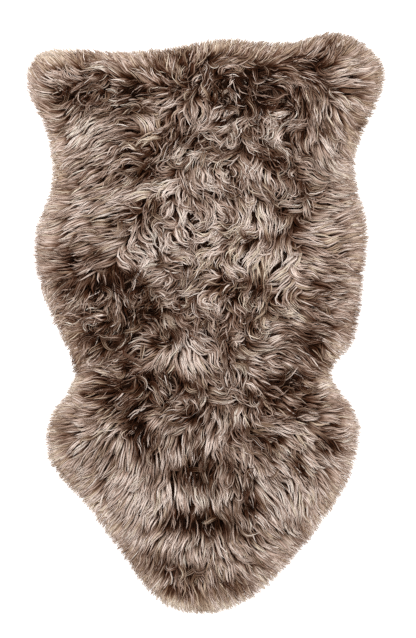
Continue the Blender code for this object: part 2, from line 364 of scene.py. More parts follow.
# How the wool is combed, by how tangled it is from 0 to 1: (x mm, y mm, the heading of the tips in degrees).
COMB = {
    0.05: (
        (-322, 480, 115), (-300, 490, 140), (-270, 492, 130), (-310, 432, 162), (-320, 415, 165),
        (-300, 395, 183), (-290, 370, 182), (-280, 352, 232), (-250, 360, 225), (-230, 350, 215),
        (-270, 315, 203), (-280, 290, 207), (-275, 268, 186), (-280, 250, 187), (-290, 235, 200),
        (-250, 235, 205), (-220, 235, 207), (-190, 220, 207), (-160, 235, 205), (282, 532, 50),
        (295, 512, 28), (312, 490, 20), (270, 480, 15), (300, 460, 8), (250, 462, 15), (310, 430, 345),
        (280, 430, 350), (292, 405, 325), (265, 390, 315), (282, 370, 315), (225, 305, 308),
        (270, 315, 305), (250, 285, 312), (275, 275, 335), (240, 262, 5), (280, 255, 5), (260, 235, 5),
        (-285, 205, 207), (-240, 190, 193), (-270, 165, 195), (-210, 165, 192), (-155, 160, 211),
        (-190, 140, 195), (-225, 120, 218), (-290, 145, 172), (-300, 120, 178), (-310, 90, 195),
        (-305, 55, 265), (-280, 100, 190), (-250, 85, 215), (-235, 65, 232), (-260, -60, 250),
        (-240, -70, 245), (-250, -100, 200), (-235, -115, 203), (290, 225, 0), (230, 215, 0),
        (215, 200, 355), (250, 195, 15), (220, 180, 12), (285, 190, 5), (250, 170, 5), (200, 165, 7),
        (200, 150, 355), (270, 150, 5), (190, 130, 350), (250, 90, 355), (280, 90, 355), (290, 60, 350),
        (270, 20, 355), (290, 10, 0), (265, -30, 345), (245, -40, 338), (230, -105, 350),
        (-245, -155, 155), (-270, -195, 180), (-230, -190, 185), (-280, -215, 183), (-200, -210, 228),
        (-230, -240, 228), (-260, -260, 222), (-240, -290, 222), (-200, -250, 240), (-185, -262, 255),
        (-165, -240, 270), (-155, -262, 262), (-180, -300, 232), (-210, -320, 225), (-150, -320, 235),
        (250, -150, 350), (270, -155, 350), (230, -170, 10), (260, -180, 355), (270, -200, 0),
        (270, -220, 0), (285, -238, 350), (285, -256, 340), (270, -270, 325), (250, -290, 315),
        (-200, -370, 235), (-180, -390, 230), (-150, -350, 235), (-150, -372, 238), (-190, -410, 222),
        (-160, -400, 225), (-170, -425, 210), (-150, -420, 215), (-130, -400, 225), (-110, -375, 240),
        (-120, -358, 245), (-90, -368, 255), (-130, -460, 240), (-100, -505, 235), (-90, -480, 240),
        (-70, -510, 250), (10, -540, 310), (-10, -545, 300), (30, -522, 295), (220, -310, 300),
        (240, -320, 300), (210, -345, 290), (210, -370, 320), (190, -390, 300), (150, -445, 335),
        (170, -422, 330), (100, -452, 325), (120, -465, 325), (70, -462, 315), (50, -452, 310),
        (60, -482, 315), (95, -492, 325), (80, -515, 320), (60, -520, 310),
    ),
    0.1: (
        (-240, 500, 120), (-200, 505, 135), (-265, 400, 240), (-130, 240, 200), (-190, 385, 213),
        (-180, 372, 205), (90, 515, 52), (125, 522, 60), (150, 502, 40), (190, 522, 67), (215, 537, 60),
        (235, 548, 72), (250, 358, 295), (235, 385, 285), (222, 340, 300), (262, 342, 310),
        (250, 325, 302), (215, 280, 340), (190, 275, 352), (220, 240, 12), (200, 458, 325),
        (205, 320, 310), (-22, 395, 277), (-260, 110, 185), (-260, 45, 235), (-200, 100, 195),
        (-270, -30, 225), (180, 175, 355), (220, 115, 335), (280, 110, 0), (210, 95, 350), (160, 15, 335),
        (175, 5, 330), (240, 5, 343), (250, -10, 350), (230, -20, 345), (130, -20, 38), (115, -35, 33),
        (140, -45, 20), (175, -20, 322), (165, -80, 315), (190, -85, 315), (175, -95, 350),
        (215, -90, 340), (150, 75, 220), (-65, -70, 255), (-40, -75, 275), (-25, -90, 290), (120, -55, 15),
        (90, -65, 18), (-190, -175, 215), (-130, -290, 240), (200, -140, 20), (220, -130, 35),
        (210, -165, 20), (180, -195, 335), (150, -215, 320), (170, -220, 322), (200, -222, 345),
        (200, -240, 320), (240, -265, 320), (200, -270, 312), (225, -277, 305), (190, -290, 310),
        (-70, -230, 265), (-75, -260, 270), (-50, -255, 285), (-25, -235, 255), (-90, -280, 270),
        (-100, -320, 240), (-70, -320, 260), (-50, -330, 270), (-70, -350, 270), (-90, -400, 225),
        (-60, -400, 240), (-110, -430, 235), (-140, -442, 230), (-115, -450, 265), (-90, -430, 255),
        (-60, -425, 250), (-80, -460, 255), (-35, -440, 255), (-120, -490, 232), (-60, -525, 265),
        (-20, -342, 285), (0, -345, 280), (20, -410, 290), (-5, -420, 265), (10, -432, 285),
        (0, -445, 265), (-15, -440, 265), (-10, -472, 285), (15, -480, 280), (0, -482, 280),
        (-20, -487, 270), (-40, -532, 275), (-30, -510, 295), (-10, -522, 300), (-25, -545, 280),
        (20, -510, 270), (0, -510, 275), (60, -260, 310), (80, -262, 295), (100, -265, 310),
        (120, -272, 300), (90, -292, 300), (110, -300, 300), (130, -290, 300), (150, -300, 305),
        (180, -312, 300), (100, -332, 295), (150, -340, 285), (180, -340, 290), (130, -342, 285),
        (150, -362, 285), (130, -372, 290), (160, -382, 285), (180, -362, 285), (170, -402, 310),
        (150, -412, 310), (130, -392, 290), (110, -382, 285), (60, -392, 270), (100, -412, 320),
        (130, -432, 340), (80, -432, 330), (60, -432, 315), (30, -442, 300), (30, -472, 295),
        (50, -502, 310), (35, -500, 290),
    ),
    0.15: (
        (-165, 500, 140), (-150, 482, 150), (-300, 455, 180), (-120, 490, 150), (50, 525, 60),
        (105, 497, 33), (220, 440, 315), (-200, -70, 225), (150, 110, 220), (210, 25, 330), (230, 35, 350),
        (130, 85, 215), (-85, -60, 215), (-80, -80, 232), (-100, -200, 215), (-60, -205, 200),
        (-100, -255, 250),
    ),
    0.2: (
        (-240, 400, 235), (-140, 400, 215), (-130, 388, 165), (-85, 465, 140), (0, 510, 45), (20, 532, 75),
        (50, 490, 25), (215, 402, 285), (160, 460, 330), (182, 432, 280), (140, 482, 340), (180, 482, 335),
        (200, 360, 275), (-185, 80, 290), (-165, 90, 320), (-165, 45, 310), (-160, 20, 300),
        (-185, -92, 147), (100, 200, 275), (120, 195, 280), (145, 180, 265), (15, 150, 235),
        (90, 135, 228), (-140, 120, 330), (250, 130, 30), (180, 85, 15), (220, 60, 345), (190, 30, 325),
        (150, -65, 340), (130, -90, 5), (200, -115, 350), (60, 95, 275), (85, 95, 265), (120, 60, 205),
        (160, 60, 222), (0, -70, 312), (75, -60, 10), (-100, -175, 192), (-150, -180, 195),
        (150, -185, 345), (180, -155, 10), (190, -175, 15), (225, -215, 350), (250, -240, 340),
        (150, -250, 300), (130, -240, 310), (80, -205, 350), (110, -205, 335), (-60, -498, 295),
        (0, -215, 275), (20, -230, 255), (0, -245, 270), (30, -200, 265), (30, -332, 270),
        (-50, -375, 280), (-30, -372, 275), (-20, -385, 285), (10, -362, 250), (30, -362, 310),
        (-30, -462, 300), (30, -255, 340), (60, -290, 300), (60, -320, 300), (50, -342, 270),
        (100, -362, 310), (80, -402, 290),
    ),
    0.25: ((-40, -410, 230),),
    0.3: (
        (-250, 465, 175), (-160, 415, 225), (-100, 410, 200), (-165, 275, 205), (-150, 260, 225),
        (-50, 475, 70), (-100, 525, 100), (-20, 525, 90), (240, 510, 40), (180, 305, 10), (180, 345, 270),
        (175, 320, 250), (-60, 405, 180), (-105, 372, 95), (-245, 30, 230), (-220, -50, 270),
        (-180, -55, 230), (-160, -70, 205), (-150, -40, 230), (-75, 250, 165), (-22, 200, 300),
        (-45, 165, 325), (-15, 165, 210), (115, 280, 288), (95, 260, 295), (100, 240, 318), (95, 215, 245),
        (75, 190, 270), (120, 130, 245), (140, 150, 265), (-110, 150, 325), (140, 265, 295),
        (155, 255, 290), (190, 210, 305), (190, 65, 345), (250, 60, 345), (180, 45, 350), (130, 20, 325),
        (-100, 100, 210), (-20, 65, 217), (0, 50, 207), (45, 95, 305), (30, -40, 315), (0, -60, 345),
        (-120, -60, 195), (-130, -85, 195), (-125, -115, 290), (-40, -175, 190), (20, -180, 270),
        (60, -180, 260), (45, -200, 250), (-120, -235, 280), (-130, -150, 185), (130, -150, 0),
        (155, -160, 310), (235, -247, 285), (170, -270, 300), (120, -225, 310), (90, -230, 320),
        (60, -220, 350), (20, -312, 300), (30, -290, 290), (80, -332, 290), (60, -362, 280),
    ),
    0.4: (
        (-252, 448, 200), (-60, 525, 95), (-30, 480, 45), (170, 372, 217), (-270, 25, 250),
        (-140, 205, 200), (-90, 215, 235), (-60, 215, 280), (-90, 165, 300), (-70, 130, 25),
        (-25, 275, 285), (25, 215, 300), (40, 210, 285), (165, 218, 230), (215, -65, 300), (150, -120, 5),
        (-50, 90, 285), (-70, 100, 330), (-60, 5, 300), (100, 75, 270), (15, 15, 235), (105, 10, 240),
        (100, -85, 350), (60, -85, 325), (-95, -118, 315), (80, -190, 290), (130, -165, 320),
        (-20, -312, 300), (10, -292, 240), (40, -272, 290), (80, -352, 290),
    ),
    0.5: (
        (-225, 470, 225), (-155, 320, 200), (150, 405, 20), (130, 325, 340), (-90, 345, 260),
        (65, 478, 345), (92, 342, 315), (10, 350, 190), (-215, 25, 200), (-115, 200, 280), (-75, 180, 170),
        (-75, 270, 190), (75, 290, 290), (-80, 85, 190), (-75, 0, 330), (-90, -20, 190), (15, -75, 270),
        (50, -110, 240), (-90, -145, 310), (-20, -160, 300), (10, -150, 300), (30, -140, 10),
        (100, -180, 330), (-120, -318, 235),
    ),
    0.6: (
        (-130, 300, 175), (-60, 370, 250), (20, 450, 80), (50, 345, 300), (-5, 320, 250), (-60, 320, 250),
        (60, 205, 270), (30, 175, 180), (150, 240, 200), (-75, 45, 185), (-20, 5, 320), (0, 30, 330),
        (30, 20, 250), (60, 30, 260), (-10, -35, 300), (100, -160, 280), (75, -150, 280),
        (-140, -208, 230), (60, -235, 0),
    ),
    0.7: (
        (-50, 440, 230), (125, 352, 250), (-205, 60, 250), (-225, 35, 240), (-250, 0, 185), (70, 235, 200),
        (75, 170, 160), (50, 120, 230), (75, 50, 200), (-60, -150, 190),
    ),
    0.8: (
        (-200, 440, 240), (-190, 420, 240), (100, 450, 315), (60, 380, 200), (45, 330, 200),
        (-235, -20, 220), (-75, 290, 200), (20, 115, 230), (-130, 60, 200), (80, 10, 270), (60, -30, 270),
        (50, 65, 190),
    ),
    0.9: (
        (70, 425, 315), (100, 380, 270), (-205, 0, 200), (25, 265, 270), (-40, 30, 200), (-110, 35, 250),
    ),
}

# Below 0 the strands are painted darker: painted shade in the open places, together with the roots' own darker
# brown.
# Where the wool lies open and dark, below 0, or shows full pale tips, above 0, by how much it does:
# (x mm, y mm, half length mm, half width mm, and the heading in degrees if it is turned).
Patch = namedtuple("Patch", "x y long wide heading", defaults=(0,))
SHADES = {
    -1.1: (
        (-141, 435, 26, 24), (107, 460, 32, 36), (-8, -384, 56, 17, 3),
    ),
    -1.0: (
        (-274, 426, 30, 14, 15), (45, 435, 28, 34), (97, 400, 28, 18), (-124, 281, 26, 20),
        (-205, 62, 26, 26), (-220, -147, 26, 6, -24), (160, -112, 44, 16, 25), (-138, -200, 30, 18, -60),
        (229, -238, 22, 13), (-28, -288, 50, 19, 5),
    ),
    -0.9: (
        (145, 420, 30, 16, -25), (208, 485, 22, 28, 60), (180, 245, 12, 26), (-147, 10, 26, 20),
        (-147, -80, 28, 16), (-140, -116, 52, 22, 5), (-50, -118, 36, 12, -20), (122, -155, 24, 16),
        (90, -220, 46, 13, -12), (15, 498, 22, 12, 15), (139, -385, 24, 12), (82, -344, 16, 11, -30),
    ),
    -0.85: ((101, -461, 22, 13),),
    -0.8: (
        (-135, 200, 62, 15, 17), (-147, 60, 26, 16), (-210, -33, 40, 18, 15), (202, -43, 28, 15, -45),
        (194, -138, 24, 14), (-32, -180, 18, 15), (172, -271, 24, 9, -60), (-44, 506, 14, 14),
        (13, -437, 11, 22),
    ),
    -0.75: (
        (-80, 325, 22, 12, 20), (34, 54, 14, 14), (91, 56, 26, 11, 10), (-204, -61, 18, 20),
    ),
    -0.7: (
        (-215, 452, 30, 16), (-25, 472, 30, 22), (128, 303, 34, 14, -20), (172, 185, 14, 18),
        (-255, 112, 18, 22), (-286, 50, 14, 26), (-105, 20, 16, 16), (-105, -155, 24, 14),
        (82, -350, 14, 20), (90, -412, 32, 10, -20), (-50, -478, 40, 12, -10), (-70, -515, 24, 10, -20),
        (185, 182, 22, 10, 30), (-114, -126, 14, 12), (-173, -163, 16, 16), (75, -154, 14, 12),
        (82, -18, 10, 16),
    ),
    -0.65: (
        (-137, 401, 26, 14, -15), (51, 352, 22, 10), (200, 312, 20, 13), (-135, 92, 12, 26, -10),
        (-82, 102, 24, 9), (-97, 54, 13, 13), (-225, -213, 11, 18), (-23, -6, 16, 12), (139, -123, 24, 11),
        (-51, -380, 22, 12), (36, -30, 12, 18), (96, -51, 20, 8, 10), (-16, -275, 11, 22, 5),
    ),
    -0.6: (
        (164, 344, 14, 26), (-40, 345, 46, 11, -20), (218, 68, 26, 14), (-147, -22, 26, 16),
        (-42, -222, 18, 12, 20), (69, -508, 18, 9, 25), (186, 143, 16, 14), (244, 430, 24, 9, -10),
        (292, 437, 18, 13), (206, 8, 14, 22), (-66, -175, 11, 22, 15), (-78, -204, 16, 12),
        (-123, -237, 14, 14), (-28, 447, 12, 22), (91, 439, 11, 12), (-133, 79, 12, 14), (82, -10, 18, 12),
        (149, -123, 22, 9, 15),
    ),
    -0.55: (
        (-230, 502, 20, 16), (-242, 399, 18, 14), (82, 287, 22, 10, 35), (158, 149, 14, 12, 45),
        (180, 87, 11, 18), (-247, 56, 16, 12), (-204, 46, 14, 12), (-99, -218, 16, 10), (-4, -204, 9, 14),
        (127, -261, 14, 13), (227, -247, 16, 10), (146, 494, 16, 14, -30), (130, 140, 20, 12, -30),
        (-282, 359, 10, 14), (-106, -404, 16, 9, -30),
    ),
    -0.5: (
        (-147, 360, 18, 14), (150, 205, 12, 20), (80, 157, 30, 10, 10), (55, 76, 50, 12),
        (-34, -18, 22, 10), (-85, -33, 30, 9, 35), (44, -68, 9, 24), (65, -84, 12, 20),
        (-112, -262, 16, 14), (15, -256, 14, 10), (74, -318, 14, 16), (30, 425, 50, 26),
        (112, 460, 20, 24), (-152, -106, 10, 30), (39, 441, 18, 16), (172, 502, 20, 14, 30),
        (239, 525, 12, 20), (-162, 346, 26, 9), (-25, 340, 10, 20), (46, 192, 16, 16), (118, 155, 10, 12),
        (127, 25, 22, 18), (-230, 5, 20, 14), (-42, 1, 22, 14), (-175, -47, 16, 9, 30),
        (-254, -85, 14, 16), (-197, -123, 14, 12), (51, -178, 10, 12), (-18, -261, 10, 20),
        (51, -275, 10, 18), (144, -190, 26, 8), (263, -137, 12, 14), (185, -299, 14, 14),
        (106, -371, 18, 9, -40), (48, 413, 10, 12), (139, 197, 22, 9, -35), (-76, 106, 22, 9),
        (-70, -35, 24, 9), (-105, -130, 14, 11, -30), (177, -173, 22, 10, 15), (204, -68, 20, 11, -25),
        (218, -213, 14, 18), (-194, -325, 18, 9), (63, -318, 8, 16, 25), (-66, -385, 13, 10, -30),
    ),
    -0.45: (
        (220, 458, 14, 14), (-252, 340, 12, 10), (95, 359, 16, 10), (225, 350, 14, 12), (215, 254, 14, 12),
        (-48, 275, 22, 9, 15), (210, 207, 20, 16), (-211, -235, 12, 12), (-106, -318, 9, 22),
        (37, -85, 10, 16, 15), (25, -106, 20, 10), (39, -228, 12, 14, 20), (172, -232, 10, 12),
        (63, -428, 12, 14), (-23, -330, 12, 12), (39, 444, 22, 14), (-232, 454, 13, 12),
        (-197, 458, 12, 12), (158, 277, 10, 24), (112, 244, 9, 12), (-206, 222, 14, 12), (-48, 28, 14, 9),
        (143, -3, 12, 14), (149, -13, 12, 18), (-194, -35, 9, 13), (-124, -168, 14, 8),
        (-28, -166, 9, 16, -30), (0, -190, 9, 18, -15), (-276, -228, 13, 16), (115, -344, 24, 9),
        (230, -302, 14, 13), (10, -380, 8, 16, 15), (41, -399, 9, 14, -20), (-23, -478, 12, 18),
        (63, -514, 12, 18),
    ),
    -0.4: (
        (-290, 380, 14, 36), (-70, 344, 24, 14), (-70, 440, 30, 20), (35, 250, 20, 12),
        (-213, 126, 16, 12), (185, 34, 18, 12), (110, -278, 14, 28), (-236, 417, 26, 14),
        (124, 226, 10, 16), (153, -35, 18, 16), (166, -167, 20, 10), (-90, 495, 14, 10), (53, 511, 30, 8),
        (-25, 460, 12, 18, -15), (185, 458, 16, 16), (-166, 384, 18, 10, 20), (-4, 380, 12, 14),
        (292, 369, 14, 16), (-271, 245, 16, 10), (-97, 180, 14, 9, 15), (132, 207, 14, 10, -40),
        (234, 169, 18, 14), (-209, 115, 12, 9), (39, 111, 9, 18), (-114, 16, 9, 16), (8, 6, 10, 14),
        (58, 6, 12, 12), (287, 10, 20, 20), (-233, -28, 14, 10), (-252, -190, 16, 14),
        (-178, -287, 12, 14), (-66, -37, 20, 9), (-70, -97, 14, 10), (0, -85, 12, 14), (48, -125, 16, 9),
        (25, -149, 12, 8), (101, -101, 20, 8, -35), (234, -163, 20, 9), (130, -232, 12, 12),
        (134, -299, 14, 12), (0, -390, 10, 24, 10), (-40, -516, 9, 10), (17, -521, 12, 10),
        (-90, 472, 30, 16), (-116, 387, 13, 10), (-66, 373, 18, 14), (189, 387, 12, 14), (48, 192, 16, 14),
        (-175, 165, 14, 9), (-173, 77, 12, 12), (-99, 30, 14, 16, -30), (160, 45, 14, 12, 30),
        (86, -166, 13, 16), (99, -232, 9, 13), (-85, -245, 16, 9, -25), (-80, -450, 26, 14, -15),
        (-85, -485, 16, 12),
    ),
    -0.35: (
        (-78, 439, 14, 12), (87, 439, 14, 14), (-267, 373, 12, 16), (36, 312, 12, 10), (67, 256, 14, 10),
        (-29, 264, 9, 14), (-4, 207, 12, 22), (-250, 161, 12, 18), (-252, 111, 14, 12),
        (-152, 115, 12, 10), (-166, 58, 16, 12), (301, 89, 10, 14), (-192, -35, 16, 10),
        (-120, -168, 12, 9), (-137, -263, 12, 12), (-95, -61, 26, 7), (-28, -133, 20, 10),
        (87, -137, 9, 14), (201, -156, 16, 9), (-125, -466, 14, 14), (-70, -485, 9, 9), (6, 483, 8, 16),
        (-80, 320, 12, 12), (220, 354, 22, 16), (225, 430, 40, 8), (-70, 263, 18, 9, 30),
        (-63, 70, 14, 16), (-204, 49, 12, 12), (-267, 64, 26, 10, -10), (196, 30, 16, 10, -35),
        (32, 54, 16, 12, 30), (-219, 7, 14, 10), (-181, 10, 10, 18, -20), (-30, -56, 13, 10),
        (-166, -9, 26, 9, -35), (-230, -132, 13, 22), (-194, -132, 12, 9), (105, -190, 12, 10),
        (-66, -266, 9, 9), (-185, -237, 18, 9, 10), (-232, -275, 34, 13), (32, -327, 10, 12),
        (-175, -375, 22, 24, -40), (-133, -394, 14, 8), (-44, -347, 8, 13), (-90, -337, 13, 10),
        (177, -390, 20, 14), (208, -354, 14, 11), (-35, -514, 10, 12), (44, -501, 14, 12),
        (15, -423, 14, 8, -25),
    ),
    -0.3: (
        (-135, 430, 26, 14), (-271, 111, 30, 20), (10, -40, 24, 18), (-188, -250, 14, 30),
        (-127, -203, 14, 20), (-8, -310, 12, 24), (-175, 477, 10, 14), (-185, 425, 16, 9),
        (-276, 430, 12, 10), (-320, 401, 12, 16), (91, 392, 10, 16), (133, 426, 20, 8),
        (-276, 192, 22, 16), (-286, 101, 14, 20), (225, 49, 24, 8), (-23, 75, 12, 9), (-66, 68, 14, 9),
        (185, -47, 12, 10), (185, -271, 9, 12), (-94, -340, 12, 10), (10, -313, 9, 16), (-37, 401, 9, 16),
        (153, 409, 26, 9), (248, 96, 26, 26), (-109, -70, 14, 10), (234, -23, 22, 12), (253, -213, 16, 12),
        (-120, -232, 10, 12), (-223, -308, 16, 9, -25),
    ),
    -0.25: (
        (144, -70, 12, 14), (144, -449, 18, 10), (-108, -442, 16, 9), (200, 125, 26, 8),
    ),
    -0.2: (
        (-88, 521, 22, 12), (189, -423, 12, 14), (-156, -449, 14, 16, -30), (-309, 70, 18, 14),
        (-257, -87, 10, 14), (265, -175, 12, 12),
    ),
    -0.15: (
        (292, 245, 14, 18), (-128, -499, 10, 14),
    ),
    -0.1: (
        (60, 535, 60, 8), (-318, 131, 14, 20), (-280, -18, 16, 14),
    ),
    0.1: ((-259, -42, 16, 12),),
    0.2: (
        (-261, 188, 18, 26), (-185, -232, 18, 32), (-286, -163, 12, 18, -20),
    ),
    0.25: (
        (248, 287, 24, 24), (112, 287, 12, 24), (-280, -169, 16, 14, 25), (-261, 163, 24, 20),
        (-147, -271, 26, 16, -20),
    ),
    0.3: (
        (-245, 363, 34, 26), (15, 460, 16, 9, 30), (154, 445, 14, 12), (-220, 358, 26, 9),
        (46, 282, 10, 12), (-301, 217, 12, 14), (-133, 49, 10, 8), (40, 524, 60, 8), (-23, 430, 14, 20),
        (-137, -18, 14, 20), (-114, -31, 16, 12), (-80, -9, 16, 10), (-145, -108, 12, 12),
        (-219, -153, 20, 10), (-257, -218, 10, 10), (139, -209, 26, 7), (-133, -323, 14, 14),
        (272, -285, 12, 16), (-171, -366, 16, 12), (91, -394, 12, 10), (-23, -371, 10, 10),
        (-54, -456, 20, 18), (99, -504, 18, 10), (284, 466, 22, 10, -15), (-242, 211, 20, 14, -40),
        (200, 56, 13, 16), (58, -99, 18, 14), (25, -85, 9, 16), (-42, -207, 14, 12, 20),
        (-137, -375, 12, 8), (-128, -418, 20, 9, 15), (96, -390, 12, 8, -30), (-223, -352, 12, 20, -40),
    ),
    0.35: (
        (-92, 368, 14, 14), (182, 363, 10, 12), (-44, 311, 9, 12), (-248, 225, 14, 10),
        (-318, 175, 12, 14), (267, 87, 14, 24), (-178, 115, 12, 16), (-232, 439, 20, 10),
        (-54, -66, 10, 10), (-162, -241, 12, 16), (19, -203, 9, 16), (219, -127, 24, 10),
        (22, -289, 9, 16, -20), (149, -327, 14, 12, -40), (27, -394, 10, 20), (-61, -504, 14, 10),
        (-257, 346, 18, 10), (137, 447, 10, 10), (133, 173, 12, 9, -40), (-86, 163, 22, 16),
        (-76, 20, 10, 16), (32, 20, 12, 10), (263, 22, 20, 10), (-288, 315, 12, 26),
        (108, -137, 14, 8, -45), (0, -23, 10, 14), (-85, -213, 24, 9, 10), (29, -190, 13, 16),
        (143, -213, 24, 11), (99, -516, 14, 10), (-166, -28, 9, 9),
    ),
    0.4: (
        (-297, 506, 20, 14), (132, 372, 24, 20), (-10, 282, 34, 18), (-244, -285, 18, 18),
        (20, -434, 70, 14), (100, -460, 40, 18, 30), (62, 162, 44, 10, 25), (27, -214, 10, 26),
        (-307, 439, 16, 22), (-212, 466, 14, 14), (-192, 447, 16, 10), (-149, 479, 12, 14),
        (-107, 451, 12, 14), (48, 483, 14, 10), (135, 477, 12, 18), (211, 511, 10, 12), (-54, 356, 9, 12),
        (125, 337, 20, 9), (68, 320, 14, 10), (6, 301, 14, 12), (-109, 242, 20, 10), (-61, 249, 12, 14),
        (20, 149, 20, 9, 25), (130, 178, 14, 9, -40), (172, 16, 12, 14), (185, -80, 14, 12),
        (-295, -245, 14, 20), (90, -203, 14, 18), (143, -152, 26, 8), (-200, -304, 10, 9),
        (-66, -318, 10, 20), (180, -347, 12, 16), (-156, -394, 14, 16), (58, -390, 14, 10),
        (44, -542, 24, 9, 15), (58, -514, 10, 18), (130, 384, 22, 12), (-276, 397, 9, 14),
        (67, 317, 14, 10), (223, 384, 12, 12), (74, 111, 12, 16), (137, 66, 13, 10),
        (-109, 239, 18, 10, 20), (-106, -97, 9, 9), (127, -23, 10, 10), (253, -61, 14, 12),
        (120, -285, 12, 9), (15, -299, 9, 16, -25), (-80, -308, 13, 14), (-61, -342, 8, 18),
        (10, -451, 16, 12, -30), (-66, -537, 26, 8, -15), (-147, -51, 14, 9),
    ),
    0.45: (
        (120, 500, 26, 12), (-42, 115, 24, 10, -20), (77, 115, 16, 20), (158, 230, 20, 16),
        (220, 92, 20, 14, -40), (-223, 87, 18, 10), (32, 20, 12, 8), (-180, -5, 22, 10),
        (272, 226, 16, 10), (15, -47, 14, 18, -30), (101, -75, 14, 10), (-252, -132, 20, 14),
        (-90, -268, 22, 12), (124, 334, 16, 10), (246, 454, 13, 12), (185, 284, 24, 9, -58),
        (-230, 77, 13, 12), (-236, -37, 12, 30), (234, -147, 18, 9), (196, -197, 16, 9, 10),
        (53, -161, 10, 10), (-23, -371, 14, 10, -20), (-80, -411, 12, 11), (127, -375, 16, 12),
        (143, -394, 9, 14, -30), (115, -442, 14, 18),
    ),
    0.5: (
        (52, 370, 20, 18), (265, 416, 16, 16), (-45, 312, 22, 14), (-125, 242, 60, 10, 14),
        (168, 64, 12, 14), (-90, -68, 30, 10), (-172, -300, 26, 30), (6, -232, 12, 16),
        (-290, 375, 12, 40), (280, 470, 20, 10), (-70, 401, 16, 10), (130, 392, 22, 10, -30),
        (230, 390, 18, 14, 20), (168, 306, 10, 30, -15), (15, 249, 16, 12), (-280, 163, 14, 12),
        (139, 65, 16, 10), (203, 113, 12, 12), (-76, 18, 11, 16), (-11, 54, 18, 10, 35),
        (127, -23, 13, 13), (-32, -89, 12, 14, -20), (-90, -142, 14, 16), (-177, -218, 22, 14, -20),
        (-4, -161, 10, 9), (-34, -207, 14, 12, 20), (220, -283, 22, 12), (239, -314, 14, 18),
        (48, -466, 13, 12), (-94, -499, 12, 20, -20), (-61, -542, 30, 9, -15), (17, 251, 14, 14),
        (168, 211, 24, 9, -10), (34, 152, 16, 10, 20), (0, 134, 10, 16), (-175, 134, 12, 12),
        (-156, -108, 26, 12, -15), (86, -116, 12, 11, -30), (70, -37, 9, 12), (-94, -194, 14, 12),
        (-218, -223, 10, 22, -20), (199, -239, 14, 12), (6, -261, 8, 13),
    ),
    0.55: (
        (-161, 149, 18, 14, 30), (15, 103, 20, 10, -30), (246, -61, 14, 12), (-278, -268, 16, 14),
        (-137, -296, 16, 13), (56, -335, 12, 12), (-209, -356, 18, 24, -30), (-190, -380, 12, 14),
        (-94, -375, 10, 14), (215, -375, 12, 18), (-28, 3, 20, 10, 15), (-242, -204, 12, 22),
    ),
    0.6: (
        (217, 325, 16, 26), (-70, 254, 20, 14), (-130, 108, 24, 16), (13, 45, 14, 14), (160, 8, 18, 18),
        (130, -30, 22, 22), (-130, -355, 28, 26), (-86, -330, 18, 14), (-30, -338, 60, 12),
        (194, -226, 12, 10), (150, -350, 46, 40), (74, 285, 20, 18), (-47, 475, 18, 12),
        (42, 385, 22, 10, 8), (-166, 18, 18, 14), (67, -35, 14, 14, -30), (276, -218, 14, 24),
        (10, -260, 10, 12), (-137, -418, 22, 12), (-9, -504, 14, 12), (-61, 207, 11, 14),
        (19, 98, 9, 16, 30), (-280, 108, 14, 13), (63, -232, 16, 9, 10), (91, -311, 10, 14),
        (-97, -371, 9, 13), (41, -542, 20, 9, 15),
    ),
    0.65: (
        (196, -199, 18, 10), (139, -152, 18, 9, 15),
    ),
    0.7: (
        (-112, 374, 20, 14), (-12, 396, 10, 22), (16, 207, 14, 20), (-30, -65, 24, 40), (69, -184, 18, 10),
        (-185, 199, 20, 24), (99, 220, 11, 16), (51, 384, 14, 10, 25), (-34, 188, 12, 13),
        (90, 192, 10, 26, 10), (-82, 131, 22, 10), (133, 104, 20, 11, 15),
    ),
    0.75: (
        (91, 182, 11, 20, 10), (127, 101, 20, 12), (-295, 54, 12, 18), (-124, -85, 26, 11, -20),
        (-51, -266, 13, 16),
    ),
    0.8: (
        (95, 192, 46, 18), (217, 172, 32, 28), (80, 115, 40, 14, 40), (-82, 80, 16, 20),
        (-34, 187, 13, 13), (-85, -418, 18, 12),
    ),
    0.85: ((151, -256, 11, 20, -10),),
    0.9: (
        (158, 105, 24, 28), (-56, 213, 14, 18), (-95, 134, 26, 13, -15), (96, -316, 16, 18),
    ),
}


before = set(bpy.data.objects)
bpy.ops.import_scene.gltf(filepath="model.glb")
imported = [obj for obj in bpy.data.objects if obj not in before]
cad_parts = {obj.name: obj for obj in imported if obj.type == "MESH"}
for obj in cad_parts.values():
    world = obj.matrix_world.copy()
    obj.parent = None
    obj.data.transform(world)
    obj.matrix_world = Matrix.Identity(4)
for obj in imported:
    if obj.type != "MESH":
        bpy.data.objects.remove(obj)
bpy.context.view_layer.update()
rng = np.random.default_rng(SEED)


class Field:
    """Values at the crossings of a square grid, read anywhere between them."""

    def __init__(self, low, high, step):
        self.low = np.array(low)
        self.high = np.array(high)
        self.step = step
        self.count = np.ceil((self.high - low) / step).astype(int) + 1
        xs, ys = (low[i] + step * np.arange(self.count[i]) for i in (0, 1))
        self.places = np.stack(np.meshgrid(xs, ys, indexing="ij"), -1)
        self.values = np.zeros(self.count)

    def at(self, points):
        where = (np.asarray(points) - self.low) / self.step
        where = np.clip(where, 0, self.count - READ_SHORT)
        i, j = where.astype(int)[..., 0], where.astype(int)[..., 1]
        u, v = where[..., 0] - i, where[..., 1] - j
        several_values = self.values.ndim > 2
        if several_values:
            u, v = u[..., None], v[..., None]
        lower = self.values[i, j] * (1 - u) + self.values[i + 1, j] * u
        upper = self.values[i, j + 1] * (1 - u) + self.values[i + 1, j + 1] * u
        return lower * (1 - v) + upper * v


